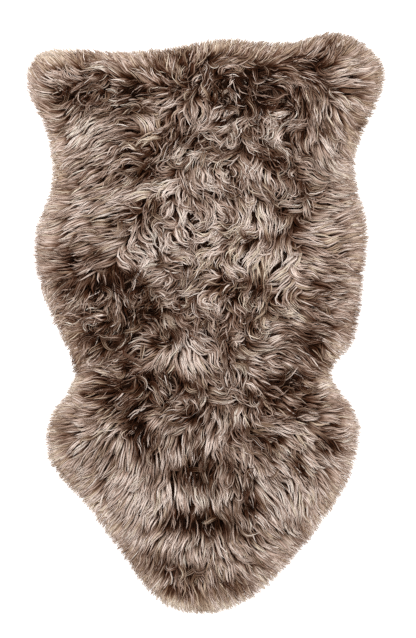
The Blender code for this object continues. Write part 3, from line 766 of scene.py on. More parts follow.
class Locks:
    """Some locks: their lines, where on them each starts and ends, and the wisp and lock of each strand."""

    def __init__(self, path, first, last, tangle, rim):
        self.path = path
        self.first = first
        self.last = last
        self.tangle = tangle
        self.rim = rim
        self.mild = np.minimum(tangle, MILD)
        self.middle = path[:, path.shape[1] // 2]
        self.count = len(path)
        self.wisps = self.count * WISPS
        self.strands = self.wisps * len(STRANDS)
        self.wisp_lock = np.repeat(np.arange(self.count), WISPS)
        self.wisp = np.repeat(np.arange(self.wisps), len(STRANDS))
        self.lock = self.wisp_lock[self.wisp]

    def some(self, chosen):
        facts = (self.path, self.first, self.last, self.tangle, self.rim)
        return Locks(*(values[chosen] for values in facts))


def by_tangle(pair, tangle):
    """A value for combed wool and how much more it is in tangled wool, worked out for that tangle."""
    plain, more = pair
    return plain + more * tangle


def smooth_step(x):
    """From 0 up to 1: of 3 * t over the first third of a strand, and of 2 * t - 1 over its second half."""
    x = np.clip(x, 0, 1)
    return x * x * (3 - 2 * x)


def grow(start, t):
    """From that share up to 1, as t goes from 0 to 1."""
    return start + (1 - start) * t


def unit(ways):
    """The same ways, each of length 1."""
    return ways / np.maximum(np.linalg.norm(ways, axis=-1, keepdims=True), TINY)


def aside_of(ways):
    """The ways to the left of these."""
    return np.stack([-ways[..., 1], ways[..., 0]], -1)


def turned(ways, angle):
    """The ways turned to the left by that angle."""
    c, s = np.cos(angle), np.sin(angle)
    return np.stack([ways[:, 0] * c - ways[:, 1] * s, ways[:, 0] * s + ways[:, 1] * c], -1)


def chance_field(low, high, size):
    """Smooth chance, mostly from -1 to 1, with features of about that size."""
    coarse, fine = Field(low, high, size), Field(low, high, size / CHANCE_FINENESS)
    coarse.values = rng.uniform(-1, 1, coarse.count)
    soft = coarse.at(fine.places)
    for axis in (0, 1):
        for _ in range(CHANCE_PASSES):
            soft = (np.roll(soft, 1, axis) + 2 * soft + np.roll(soft, -1, axis)) / 4
    fine.values = soft * CHANCE_GAIN
    return fine


def skin_outline():
    """The rim of the skin's top in order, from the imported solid."""
    co = np.array([v.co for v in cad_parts["pelt"].data.vertices])
    top = co[co[:, 2] > co[:, 2].max() - LEVEL_WITHIN][:, :2]
    top = np.unique(np.round(top, DECIMALS), axis=0)
    return top[np.argsort(np.arctan2(top[:, 1], top[:, 0]))]


def outward(points):
    """The way from inside the skin out to its rim, at each point."""
    return unit(points * (OUTWARD_X, OUTWARD_Y))


def wool_outline(skin):
    """The wool's edge: each point of the skin's rim, moved outward by the wool's reach there."""
    edge = skin.copy()
    heading = np.degrees(np.arctan2(skin[:, 1], skin[:, 0]))
    past = np.interp(heading, *np.transpose(WOOL_REACH), period=360) * MM
    for _ in range(REACH_ROUNDS):
        edge = skin + outward(edge) * past[:, None]
    return edge


def walk_round(ring):
    """How long a closed ring is, and a function that reads its points at any length along it."""
    closed = np.vstack([ring, ring[:1]])
    walked = np.concatenate([[0], np.cumsum(np.linalg.norm(np.diff(closed, axis=0), axis=1))])

    def at(stops):
        return np.column_stack([np.interp(stops, walked, closed[:, i], period=walked[-1]) for i in (0, 1)])

    return walked[-1], at


def depth_inside(points, ring):
    """How far each point is inside a closed ring, negative outside."""
    flat = points.reshape(-1, 2)
    nearest = np.full(len(flat), np.inf)
    inside = np.zeros(len(flat), bool)
    for a, b in zip(ring, np.roll(ring, -1, 0)):
        side = b - a
        share = np.clip((flat - a) @ side / (side @ side), 0, 1)
        nearest = np.minimum(nearest, np.linalg.norm(flat - a - share[:, None] * side, axis=1))
        crosses = (a[1] > flat[:, 1]) != (b[1] > flat[:, 1])
        rise = side[1] or TINY
        inside ^= crosses & (flat[:, 0] < a[0] + (flat[:, 1] - a[1]) * side[0] / rise)
    return np.where(inside, nearest, -nearest).reshape(points.shape[:-1])


def depth_field(low, high, ring):
    """How far inside a closed ring each place is."""
    depths = Field(low, high, FIELD_STEP)
    depths.values = depth_inside(depths.places, ring)
    return depths


def height_field(low, high, depths):
    """The height of the fleece all over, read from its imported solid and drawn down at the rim."""
    heights = Field(low, high, FIELD_STEP)
    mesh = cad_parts["fleece"].data
    tree = BVHTree.FromPolygons([v.co for v in mesh.vertices], [p.vertices[:] for p in mesh.polygons])
    down = Vector((0, 0, -1))
    read = [tree.ray_cast(Vector((x, y, ABOVE_ALL)), down)[0] for x, y in heights.places.reshape(-1, 2)]
    solid = np.array([hit.z if hit else 0.0 for hit in read]).reshape(heights.count)
    slope = EDGE_HEIGHT + (RIM_HEIGHT - EDGE_HEIGHT) * np.clip(depths.values / RIM_RUN, 0, 1) ** RIM_CURVE
    share = smooth_step((depths.values - RIM_RUN + BLEND_BEFORE) / BLEND)
    heights.values = slope * (1 - share) + solid * share
    return heights


def comb_field(low, high):
    """The way the tips point and how tangled the wool is, all over."""
    comb = Field(low, high, FIELD_STEP)
    total = np.zeros((*comb.count, 3))
    weights = np.zeros(comb.count)
    for tangle, spots in COMB.items():
        for x, y, heading in spots:
            gap = ((comb.places - (x * MM, y * MM)) ** 2).sum(-1)
            weight = 1 / (gap + COMB_BLUR**2) ** 2
            turn = math.radians(heading)
            weights += weight
            total += weight[..., None] * (math.cos(turn), math.sin(turn), tangle)
    total /= weights[..., None]
    tangle = total[..., 2]
    swirl = chance_field(low, high, SWIRL_SIZE).at(comb.places)
    swirl += FINE_SWIRL * chance_field(low, high, FINE_SWIRL_SIZE).at(comb.places)
    heading = np.arctan2(total[..., 1], total[..., 0])
    heading += swirl * np.radians(by_tangle(SWIRL_DEGREES_BY_TANGLE, tangle))
    comb.values = np.stack([np.cos(heading), np.sin(heading), tangle], -1)
    return comb


def shade_field(low, high):
    """How open and dark, below 0, or full and pale, above 0, the wool is."""
    shades = Field(low, high, FIELD_STEP)
    for amount, patches in SHADES.items():
        for patch in patches:
            x, y, long, wide, heading = Patch(*patch)
            c, s = math.cos(math.radians(heading)), math.sin(math.radians(heading))
            off = shades.places - (x * MM, y * MM)
            along = (off[..., 0] * c + off[..., 1] * s) / (long * MM)
            across = (off[..., 1] * c - off[..., 0] * s) / (wide * MM)
            shades.values += amount * np.exp(-SHADE_FADE * (along**2 + across**2))
    shades.values = np.clip(shades.values, *SHADE_LIMITS)
    return shades


def openness(points, wool):
    """How open the wool lies at the points, from 0 to 1."""
    return np.clip(-wool.shades.at(points), 0, 1)


def lock_middles(edge, low, high):
    """Where the shown part of each lock lies: jittered rows all over, and closer rows along the rim."""
    middles = []
    for n, y in enumerate(np.arange(low[1], high[1], LOCK_STEP * math.sqrt(3) / 2)):
        xs = np.arange(low[0] + LOCK_STEP / 2 * (n % 2), high[0], LOCK_STEP)
        middles.append(np.column_stack([xs, np.full(len(xs), y)]))
    middles = np.concatenate(middles)
    middles += rng.uniform(-LOCK_JITTER, LOCK_JITTER, middles.shape) * LOCK_STEP
    middles = middles[depth_inside(middles, edge) > LOCK_INSIDE]
    length, rim_at = walk_round(edge)
    for inset, shift in RIM_ROWS:
        stops = (np.arange(int(length / RIM_LOCK_STEP)) + shift) * RIM_LOCK_STEP
        stops += rng.uniform(-RIM_JITTER, RIM_JITTER, len(stops)) * RIM_LOCK_STEP
        rim = rim_at(stops)
        middles = np.vstack([middles, rim - outward(rim) * inset])
    return middles


def lock_paths(middles, wool):
    """Each lock's line seen from above, followed both ways from its middle along the comb."""
    count = len(middles)
    tangle = wool.comb.at(middles)[:, 2]
    length = LOCK_LENGTH * rng.uniform(*LENGTH_SPREAD, count) * (1 - TANGLED_SHORTER * tangle)
    skew = np.radians(by_tangle(SKEW_DEGREES_BY_TANGLE, tangle)) * rng.normal(size=count)
    curl = np.radians(by_tangle(CURL_DEGREES_BY_TANGLE, tangle)) * rng.normal(size=count)
    curl = np.clip(curl, -MOST_CURL, MOST_CURL)
    steps_out = int(LONGEST * SHOWN * PATH_PAST / MARCH)
    steps_back = int(LONGEST / MARCH)

    ahead = [middles]
    for k in range(steps_out):
        combed = unit(wool.comb.at(ahead[-1])[:, :2])
        way = turned(combed, skew + curl * (k * MARCH / (SHOWN * length)) ** CURL_GROWTH)
        ahead.append(ahead[-1] + way * MARCH)
    back = [middles]
    for k in range(steps_back):
        combed = unit(wool.comb.at(back[-1])[:, :2])
        way = turned(combed, skew - ROOT_CURL * curl * np.minimum(k * MARCH / length, 1))
        past = smooth_step(-wool.skin_depths.at(back[-1]) / ROOT_OUTWARD_RUN)[:, None] * ROOT_OUTWARD
        way = unit(way * (1 - past) + outward(back[-1]) * past)
        back.append(back[-1] - way * MARCH)
    ahead, back = np.stack(ahead, 1), np.stack(back, 1)

    # The tip stops a little past the wool's edge, and the root is on the skin.
    grid = wool.depths
    ragged = RAGGED * chance_field(grid.low, grid.low + grid.step * grid.count, RAGGED_SIZE).at(middles)
    room = wool.depths.at(ahead) + LOCK_PAST_EDGE - (ragged + rng.uniform(*RAGGED_SPREAD, count))[:, None]
    shut = np.where((room < 0).any(1), (room < 0).argmax(1), steps_out)
    tip = np.minimum(length * SHOWN / MARCH, shut)
    rooted = wool.skin_depths.at(back) > ROOT_INSIDE
    far_enough = np.arange(steps_back + 1)[None] * MARCH > (length - tip * MARCH)[:, None]
    good = rooted & far_enough
    root = np.where(good.any(1), good.argmax(1), np.where(rooted.any(1), steps_back, -1))
    path = np.concatenate([back[:, :0:-1], ahead], 1)
    rim = smooth_step((RIM_DEPTH - wool.depths.at(middles)) / RIM_FADE)
    return Locks(path, steps_back - root, steps_back + tip, tangle, rim).some(root >= 0)


def read_path(path, lock, where):
    """The points of the locks' lines at those places, counted in steps from their first points."""
    k = np.clip(where, 0, path.shape[1] - READ_SHORT).astype(int)
    u = (where - k)[..., None]
    rows = lock[:, None]
    return path[rows, k] * (1 - u) + path[rows, k + 1] * u


def share_inside(t, depth):
    """The share of each strand up to where its depth inside the edge falls below nothing."""
    out = depth[:, 1:] < 0
    k = np.where(out.any(1), out.argmax(1), 0)
    rows = np.arange(len(depth))
    before, after = depth[rows, k], depth[rows, k + 1]
    share = np.clip(before / np.maximum(before - after, TINY), LEAST_SHARE, 1)
    return np.where(out.any(1), t[k] + share * (t[k + 1] - t[k]), 1.0)


def lay_strands(locks, t, wool):
    """How each strand lies in its wisp and lock: how deep, how far along and across, and its waves."""
    tangle, rim, lock, wisp = locks.tangle, locks.rim, locks.lock, locks.wisp
    wisps, many = locks.wisps, locks.strands
    place, sunk = np.tile(STRANDS, (wisps, 1)).T
    place = place * np.repeat(rng.choice((-1, 1), wisps), len(STRANDS))
    sunk = SUNK_STRAND * sunk + SUNK_WISP * rng.uniform(0, 1, wisps)[wisp]
    sunk += SUNK_CHANCE * rng.normal(size=many)
    short = rng.uniform(*WISP_SHORTER, wisps)[wisp] * (1 - RIM_EVEN * rim[lock])
    reach = 1 - short - rng.uniform(*STRAND_SHORTER, many)

    radius = LOCK_RADIUS * rng.uniform(*RADIUS_SPREAD, locks.count) * (1 - TANGLED_NARROWER * tangle)
    row = np.tile(np.linspace(-WISP_SPAN, WISP_SPAN, WISPS), locks.count)
    row += WISP_CHANCE * rng.normal(size=wisps)
    drawn = (rng.uniform(*DRAWN_TOGETHER, locks.count) - TANGLED_DRAWN * locks.mild)[lock, None]
    spread = grow(ROOT_SPREAD, smooth_step(2 * t)) + (drawn - 1) * smooth_step(2 * t - 1)
    apart = WISP_RADIUS * (1 + RIM_APART * rim[lock])
    along = rng.normal(size=many) * apart
    own = (place + STRAND_CHANCE * rng.normal(size=many)) * apart
    flick = rng.normal(size=wisps) * (by_tangle(FLICK_BY_TANGLE, tangle) - RIM_FLICK * rim)[locks.wisp_lock]
    dark = openness(locks.middle, wool)
    strays = STRAYS * (by_tangle(STRAYS_BY_TANGLE, tangle) + STRAYS_IN_DARK * dark)
    stray = rng.uniform(size=many) < strays[lock]
    loose = by_tangle(LOOSE_BY_TANGLE, tangle[lock]) + STRAY_LOOSE * stray + RIM_LOOSE * rim[lock]
    loose = rng.normal(size=many) * loose
    across = (row[wisp] * radius[lock])[:, None] * spread
    across = across + own[:, None] * (1 - TIP_APART * t * (1 - RIM_TIP_APART * rim[lock, None]))
    across = across + (flick[wisp] + loose)[:, None] * t**2

    phase = rng.uniform(0, TURN, locks.count)[lock]
    phase += (rng.normal(size=wisps) * by_tangle(WISP_PHASE_BY_TANGLE, tangle[locks.wisp_lock]))[wisp]
    phase += rng.normal(size=many) * (by_tangle(STRAND_PHASE_BY_TANGLE, tangle[lock]) + stray)
    span = rng.uniform(*WAVE_LENGTH, locks.count) * (1 - TANGLED_WAVE_SHORTER * tangle)
    return SimpleNamespace(sunk=np.clip(sunk, 0, 1), reach=reach, radius=radius, row=row, along=along,
                           across=across, stray=stray, phase=phase, span=span)


def seen_from_above(locks, t, lie, reach):
    """Where each strand lies in x and y, along its lock's line and beside it."""
    lock = locks.lock
    shown = locks.last - locks.first
    walked = t[None] * reach[:, None]
    where = locks.first[lock, None] + walked * shown[lock, None]
    centre = read_path(locks.path, lock, where)
    ahead = unit(read_path(locks.path, lock, where + 1) - centre)
    turns = TURN * walked * (shown * MARCH / lie.span)[lock, None] + lie.phase[:, None]
    depth = by_tangle(WAVE_DEPTH_BY_TANGLE, locks.tangle)[lock, None]
    wave = depth * np.sin(turns) * smooth_step(WAVE_START * t)
    return centre + ahead * lie.along[:, None, None] + aside_of(ahead) * (lie.across + wave)[..., None]


def strand_heights(locks, t, lie, flat, lofty, wool):
    """The wool rises from the skin and lies over, each lock's tip on top of the next lock."""
    lock = locks.lock
    top = wool.heights.at(flat)
    level = (LEVEL + LOFT * lofty)[lock] - by_tangle(SUNK_LEVEL_BY_TANGLE, locks.mild[lock]) * lie.sunk
    level = level[:, None] - OPEN_LEVEL * openness(flat, wool)
    run = by_tangle(RISE_RUN_BY_TANGLE, locks.tangle[lock])
    run = run + rng.uniform(-RISE_CHANCE, RISE_CHANCE, locks.strands)
    rise = smooth_step(t / run[:, None])
    z = SKIN_TOP + (top * level * grow(ROOT_LEVEL, t) - SKIN_TOP) * rise
    sideways = np.minimum((lie.across / lie.radius[lock, None]) ** 2, MOST_ROUNDNESS)
    z -= sideways * LOCK_ROUNDNESS * rise * np.minimum(top / ROUND_HEIGHT, 1)
    lift = locks.tangle[lock] * rng.normal(size=locks.strands) * TIP_LIFT
    z += lift[:, None] * smooth_step(2 * t - 1)
    return np.maximum(z, LOWEST)


def strand_tones(locks, t, lie, flat, lofty, wool):
    """How pale each strand is along it: darkest at the root, with painted shade the deeper it sits in its
    lock.
    """
    lock, wisp, rim = locks.lock, locks.wisp, locks.rim[locks.lock]
    shade = wool.shades.at(flat)
    # Painted light and shade by how lofty each lock is.
    tone = by_tangle(TONE_BY_TANGLE, locks.mild) + LOFTY_LIGHT_AND_SHADE * lofty
    tone += LOCK_TONE * rng.normal(size=locks.count)
    own = STRAND_TONE * rng.normal(size=locks.strands) * (1 - RIM_STRAND_TONE * rim)
    shared = WISP_TONE * rng.normal(size=locks.wisps)[wisp] * (1 + RIM_WISP_TONE * rim)
    tone = tone[lock] + (shared + own) * by_tangle(CONTRAST_BY_TANGLE, locks.mild[lock])
    # Painted shade on strands sunk deep in their lock.
    tone -= by_tangle(SUNK_SHADE_BY_TANGLE, locks.mild[lock]) * lie.sunk
    # Painted shade, darker towards a lock's sides.
    tone -= SIDE_SHADE * np.minimum(lie.row[wisp] ** 2, MOST_SIDE_SHADE)
    tone -= RIM_TONE * rim
    # Painted shade where the wool lies open, weak on strays that lie on top, and paler where the tips are
    # full.
    open_shade = np.where(lie.stray, STRAY_DULLING, rng.uniform(*DULLING, locks.strands))[:, None]
    dimmed = np.where(shade < 0, DARK_SHADE * open_shade, PALE_SHADE * PALE_DULLING) * shade
    # Darker towards the root: the roots' own brown, and painted shade deep in the fleece.
    root = (ROOT_TONE + COMBED_ROOT_TONE * np.clip(1 - 2 * locks.tangle[lock], 0, 1))[:, None]
    pale = np.clip(tone, *TONE_LIMITS)[:, None] * grow(root, smooth_step((t - ROOT_SHARE) / ROOT_FADE))
    pale = pale + dimmed * smooth_step(3 * t)
    # Painted light near the wool's edge.
    return pale + EDGE_PAINTED_LIGHT * (1 - smooth_step(wool.depths.at(flat) / EDGE_DEPTH)) * smooth_step(2 * t)


def strand_lines(rings, locks, wool):
    """The centre line of every strand of some locks, its thickness and paleness along it, and its hue."""
    t = np.array(rings)
    lock, rim = locks.lock, locks.rim
    lie = lay_strands(locks, t, wool)
    flat = seen_from_above(locks, t, lie, lie.reach)

    # A strand that would stick out past the wool's edge is shorter.
    ends = rng.normal(FRINGE, FRINGE_UNEVEN, locks.strands)
    ends += wool.tufts.at(flat[:, -1]) * by_tangle(TUFT_REACH_BY_TANGLE, locks.tangle[lock])
    flat = seen_from_above(locks, t, lie, lie.reach * share_inside(t, wool.depths.at(flat) + ends[:, None]))

    lofty = rng.uniform(-1, 1, locks.count) * by_tangle(LOFT_BY_TANGLE, locks.mild)
    lofty = lofty * (1 - RIM_LESS_LOFTY * rim)
    z = strand_heights(locks, t, lie, flat, lofty, wool)
    thick = (rng.uniform(*STRAND_RADIUS, locks.strands) * (1 - RIM_THINNER * rim[lock]))[:, None]
    taper = (1 - t ** (TIP_TAPER - RIM_TAPER * rim[lock, None])) ** TAPER
    thick = thick * taper * (ROOT_THICKNESS + BELLY * np.sin(math.pi * t))
    pale = strand_tones(locks, t, lie, flat, lofty, wool)
    mood = MOOD_SHARE * wool.moods.at(locks.middle) + RIM_MOOD * rim
    mood = mood[locks.wisp_lock] + MOOD_CHANCE * rng.normal(size=locks.wisps)
    return np.concatenate([flat, z[..., None]], -1), thick, pale, np.digitize(mood, MOODS)[locks.wisp]


def strand_faces(last):
    """One strand's faces, and each corner's place: its share across the column, and its ring."""
    faces, corners = [], []
    for k in range(last):
        for j in range(SIDES):
            n = (j + 1) % SIDES
            if k < last - 1:
                faces.append((k * SIDES + j, k * SIDES + n, (k + 1) * SIDES + n, (k + 1) * SIDES + j))
                corners += [(j, k), (j + 1, k), (j + 1, k + 1), (j, k + 1)]
            else:
                faces.append((k * SIDES + j, k * SIDES + n, last * SIDES))
                corners += [(j, k), (j + 1, k), (j + 0.5, last)]
    faces.append((2, 1, 0))
    corners += [(2, 0), (1, 1), (0, 0)]
    return faces, np.array(corners)


def strand_parts(lines, thick, pale, hue):
    """Closed three-sided strands: their points, corners, the faces' sizes, and places on the colour map."""
    many, points = lines.shape[:2]
    last = points - 1
    tangent = np.gradient(lines, axis=1)
    tangent /= np.linalg.norm(tangent, axis=-1, keepdims=True)
    side = unit(np.cross(tangent, (0, 0, 1)))
    over = np.cross(side, tangent)
    roll = rng.uniform(0, TURN, many)[:, None, None] + np.arange(SIDES) * TURN / SIDES
    wide, flat = STRAND_WIDE * np.cos(roll)[..., None], STRAND_FLAT * np.sin(roll)[..., None]
    ring = side[:, :-1, None] * wide + over[:, :-1, None] * flat
    ring = lines[:, :-1, None] + ring * thick[:, :-1, None, None]
    verts = np.concatenate([ring.reshape(many, -1, 3), lines[:, -1:]], 1)

    faces, corners = strand_faces(last)
    sizes = np.tile([len(face) for face in faces], many)
    order = np.concatenate([np.array(face) for face in faces])
    loops = (order[None] + verts.shape[1] * np.arange(many)[:, None]).ravel()
    columns = HUES * STREAKS
    left = (hue * STREAKS + rng.integers(0, STREAKS, many) + STREAK_MARGIN) / columns
    places = np.empty((many, len(corners), 2))
    places[..., 0] = left[:, None] + corners[None, :, 0] / SIDES * (1 - 2 * STREAK_MARGIN) / columns
    stagger = STAGGER * (np.arange(points) % 2)
    places[..., 1] = (MAP_FOOT + MAP_HEIGHT * np.clip(pale, 0, 1) + stagger)[:, corners[:, 1].astype(int)]
    return verts.reshape(-1, 3), loops, sizes, places.reshape(-1, 2)


def strand_mesh(name, groups):
    """One mesh of some groups of strands."""
    parts = [strand_parts(*group) for group in groups]
    shifts = np.cumsum([0] + [len(part[0]) for part in parts])
    verts = np.concatenate([part[0] for part in parts])
    loops = np.concatenate([part[1] + shift for part, shift in zip(parts, shifts)])
    sizes = np.concatenate([part[2] for part in parts])
    places = np.concatenate([part[3] for part in parts])
    mesh = bpy.data.meshes.new(name)
    mesh.vertices.add(len(verts))
    mesh.vertices.foreach_set("co", verts.astype(np.float32).ravel())
    mesh.loops.add(len(loops))
    mesh.loops.foreach_set("vertex_index", loops.astype(np.int32))
    mesh.polygons.add(len(sizes))
    mesh.polygons.foreach_set("loop_start", np.concatenate([[0], np.cumsum(sizes)[:-1]]).astype(np.int32))
    mesh.update(calc_edges=True)
    layer = mesh.uv_layers.new(name="OFBake")
    layer.uv.foreach_set("vector", places.astype(np.float32).ravel())
    mesh.shade_smooth()
    mesh.validate()
    return mesh


def add_object(name, mesh, material):
    """A piece of that name in the scene."""
    mesh.materials.append(material)
    piece = bpy.data.objects.new(name, mesh)
    bpy.context.scene.collection.objects.link(piece)
    return piece


def fringe_lines(edge, kind, wool):
    """Short strands low at the rim that end unevenly at the wool's edge."""
    many = kind.many
    length, rim_at = walk_round(edge)
    rim = rim_at((np.arange(many) + rng.uniform(-0.5, 0.5, many)) / many * length)
    start = rim - outward(rim) * rng.uniform(*kind.inset, many)[:, None]
    way = unit(FRINGE_OUTWARD * outward(rim) + unit(wool.comb.at(start)[:, :2]))
    way = turned(way, rng.normal(0, FRINGE_FAN, many))
    t = np.array(FRINGE_RINGS)
    bow = rng.normal(0, FRINGE_BOW, many)[:, None, None] * np.sin(math.pi * t)[None, :, None]
    tries = np.linspace(0, 1, FRINGE_TRIES)
    line = start[:, None] + way[:, None] * FRINGE_LONGEST * tries[None, :, None]
    reach = FRINGE_LONGEST * share_inside(tries, wool.depths.at(line) + rng.normal(*kind.past, many)[:, None])
    flat = start[:, None] + way[:, None] * reach[:, None, None] * t[None, :, None]
    flat += aside_of(way)[:, None] * bow
    z = np.maximum(wool.heights.at(flat) * rng.uniform(*kind.level, many)[:, None], FRINGE_LOWEST)
    thick = rng.uniform(*kind.radius, many)[:, None] * (1 - t**FRINGE_TAPER) ** TAPER
    pale = rng.uniform(*kind.tone, many)[:, None] * grow(FRINGE_ROOT_TONE, smooth_step(FRINGE_PALING * t))
    mood = MOOD_SHARE * wool.moods.at(start) + FRINGE_MOOD + MOOD_CHANCE * rng.normal(size=many)
    return np.concatenate([flat, z[..., None]], -1), thick, pale, np.digitize(mood, MOODS)


def curl_spots(low, high, wool):
    """Chance places for the curls, away from the rim."""
    spots = rng.uniform(low, high, (CURLS * CURL_TRIES, 2))
    tangle = wool.comb.at(spots)[:, 2]
    wanted = CURLS_IN_DARK * openness(spots, wool)
    wanted += CURLS_IN_TANGLE * np.clip(tangle - CURLS_FROM_TANGLE, 0, 1)
    return spots[(rng.uniform(size=len(spots)) < wanted) & (wool.depths.at(spots) > RIM_DEPTH)][:CURLS]


def curl_lines(low, high, wool):
    """Loose curly wisps of a few strands, most where the wool lies open or tangled."""
    spots = curl_spots(low, high, wool)
    wisps = len(spots)
    wisp = np.repeat(np.arange(wisps), CURL_STRANDS)
    many = len(wisp)
    t = np.array(CURL_RINGS)
    length = rng.uniform(*CURL_LENGTH, wisps)[wisp] * rng.uniform(*CURL_LENGTH_SPREAD, many)
    combed = wool.comb.at(spots)
    start = np.arctan2(combed[:, 1], combed[:, 0]) + rng.normal(0, CURL_START, wisps)
    bend = rng.choice((-1, 1), wisps) * rng.uniform(*CURL_TURN, wisps)
    bend = bend[wisp] * (1 + CURL_TURN_CHANCE * rng.normal(size=many))
    turn = bend[:, None] * t * grow(CURL_TURN_AT_ROOT, t)
    sway = rng.uniform(*CURL_SWAY, wisps)[wisp, None]
    sway = sway * np.sin(CURL_SWAY_TURNS * t + rng.uniform(0, CURL_SWAY_TURNS, wisps)[wisp, None])
    heading = start[wisp, None] + turn + sway - turn[:, CURL_MIDDLE, None]
    ways = np.stack([np.cos(heading), np.sin(heading)], -1)
    flat = np.cumsum(ways * (length[:, None] * np.diff(t, prepend=0.0))[..., None], 1)
    flat += (spots[wisp] - flat[:, CURL_MIDDLE])[:, None]
    place = np.tile(np.linspace(-1, 1, CURL_STRANDS), wisps) * CURL_WIDTH
    place += rng.normal(0, CURL_WIDTH_CHANCE, many)
    flat += aside_of(ways) * (place[:, None] * (1 - CURL_DRAWN * t))[..., None]
    level = (rng.uniform(*CURL_LEVEL, wisps)[wisp] + CURL_LEVEL_CHANCE * rng.normal(size=many))[:, None]
    z = np.maximum(wool.heights.at(flat) * level * grow(CURL_ROOT_LEVEL, smooth_step(2 * t)), FRINGE_LOWEST)
    thick = rng.uniform(*CURL_RADIUS, many)[:, None] * (1 - t**CURL_TAPER) ** TAPER
    thick = thick * grow(CURL_ROOT_RADIUS, smooth_step(3 * t))
    tone = (rng.uniform(*CURL_TONE, wisps)[wisp] + CURL_TONE_CHANCE * rng.normal(size=many))[:, None]
    pale = tone * grow(CURL_ROOT_TONE, smooth_step(CURL_PALING * t))
    # Painted shade on curls where the wool lies open.
    pale -= CURL_OPEN_SHADE * openness(flat, wool)
    return np.concatenate([flat, z[..., None]], -1), thick, pale, rng.integers(0, HUES, wisps)[wisp]


def wool_fields(skin, edge):
    """What the strands need to know all over the skin."""
    low, high = edge.min(0) - FIELD_MARGIN, edge.max(0) + FIELD_MARGIN
    depths, skin_depths = depth_field(low, high, edge), depth_field(low, high, skin)
    return SimpleNamespace(
        depths=depths, skin_depths=skin_depths, heights=height_field(low, high, depths),
        shades=shade_field(low, high), comb=comb_field(low, high),
        moods=chance_field(low, high, MOOD_SIZE), tufts=chance_field(low, high, TUFT))


def make_wool(material, edge, wool):
    """The locks in pieces from the tapered end to the broad end, the fringe at the rim, and the curls."""
    low, high = wool.depths.low, wool.depths.high
    locks = lock_paths(lock_middles(edge, low, high), wool)
    along_the_skin = np.argsort(locks.middle[:, 1])
    pieces = []
    for name, part in zip(REGIONS, np.array_split(along_the_skin, len(REGIONS))):
        tangled = locks.tangle[part] > TANGLED
        groups = []
        for rings, chosen in ((COMBED_RINGS, part[~tangled]), (TANGLED_RINGS, part[tangled])):
            if len(chosen):
                groups.append(strand_lines(rings, locks.some(chosen), wool))
        pieces.append(add_object("wool_" + name, strand_mesh("wool_" + name, groups), material))
    fringe = [fringe_lines(edge, kind, wool) for kind in FRINGE_KINDS]
    pieces.append(add_object("wool_fringe", strand_mesh("wool_fringe", fringe), material))
    curls = [curl_lines(low, high, wool)]
    pieces.append(add_object("wool_curls", strand_mesh("wool_curls", curls), material))
    return pieces


def band(lower, upper, around):
    """The faces between two rings of vertices, each given by its first vertex."""
    steps = [(i, (i + 1) % around) for i in range(around)]
    return [(lower + i, lower + n, upper + n, upper + i) for i, n in steps]


def fan(ring, middle, around):
    """The faces between a ring of vertices and the one in its middle."""
    return [(ring + i, ring + (i + 1) % around, middle) for i in range(around)]


def make_underwool(material, skin, wool):
    """The dense felt of underwool at the strands' roots, a low lumpy slab over the skin."""
    around = UNDERWOOL_AROUND
    angles = np.linspace(-math.pi, math.pi, around, endpoint=False)
    rim = skin + outward(skin) * UNDERWOOL_PAST
    far = np.interp(angles, np.arctan2(rim[:, 1], rim[:, 0]), np.linalg.norm(rim, axis=1), period=TURN)
    reach = np.stack([np.cos(angles), np.sin(angles)], -1) * far[:, None]
    shares = np.linspace(1, 0, UNDERWOOL_RINGS)[:-1]
    flat = reach[None] * shares[:, None, None]
    level = UNDERWOOL_SHARE - UNDERWOOL_OPEN * openness(flat, wool)
    bumps = [[noise.noise(Vector((*place, 0)) / UNDERWOOL_BUMP_SIZE) for place in ring] for ring in flat]
    tops = wool.heights.at(flat) * level + np.array(bumps) * UNDERWOOL_BUMP
    tops[0] = UNDERWOOL_EDGE
    tops[1] = np.maximum(tops[1] * UNDERWOOL_SHOULDER, UNDERWOOL_LOWEST)
    verts = [(x, y, z) for ring, zs in zip(flat, tops) for (x, y), z in zip(ring, zs)]
    verts.append((0, 0, float(wool.heights.at(np.zeros(2))) * UNDERWOOL_SHARE))
    rings = [k * around for k in range(len(shares))]
    faces = [face for lower, upper in zip(rings, rings[1:]) for face in band(lower, upper, around)]
    faces += fan(rings[-1], len(verts) - 1, around)
    faces.append(tuple(reversed(range(around))))
    mesh = bpy.data.meshes.new("underwool")
    mesh.from_pydata(verts, [], faces)
    mesh.shade_smooth()
    return add_object("underwool", mesh, material)


def make_pelt(material, skin):
    """The tanned skin: an even sheet on the floor, its cut edge a little rounded."""
    around = len(skin)
    drawn_in = 1 - PELT_ROUNDING / np.linalg.norm(skin, axis=1, keepdims=True)
    edge_rings = (
        (skin * drawn_in, 0.0),
        (skin, PELT_THICK * PELT_ROUNDED),
        (skin, PELT_THICK * (1 - PELT_ROUNDED)),
        (skin * drawn_in, PELT_THICK),
    )
    under = [(skin * share, 0.0) for share in reversed(PELT_RINGS)]
    over = [(skin * share, PELT_THICK) for share in PELT_RINGS]
    layers = [*under, *edge_rings, *over]
    verts = [(x, y, z) for ring, z in layers for x, y in ring]
    verts += [(0, 0, 0), (0, 0, PELT_THICK)]
    rings = [k * around for k in range(len(layers))]
    faces = [face for lower, upper in zip(rings, rings[1:]) for face in band(lower, upper, around)]
    faces += [face[::-1] for face in fan(rings[0], len(verts) - 2, around)]
    faces += fan(rings[-1], len(verts) - 1, around)
    mesh = bpy.data.meshes.new("pelt")
    mesh.from_pydata(verts, [], faces)
    mesh.shade_smooth()
    return add_object("tanned_pelt", mesh, material)


def set_inputs(node, **values):
    """Sets a node's inputs by their names, with an underscore for each space."""
    for name, value in values.items():
        node.inputs[name.replace("_", " ")].default_value = value


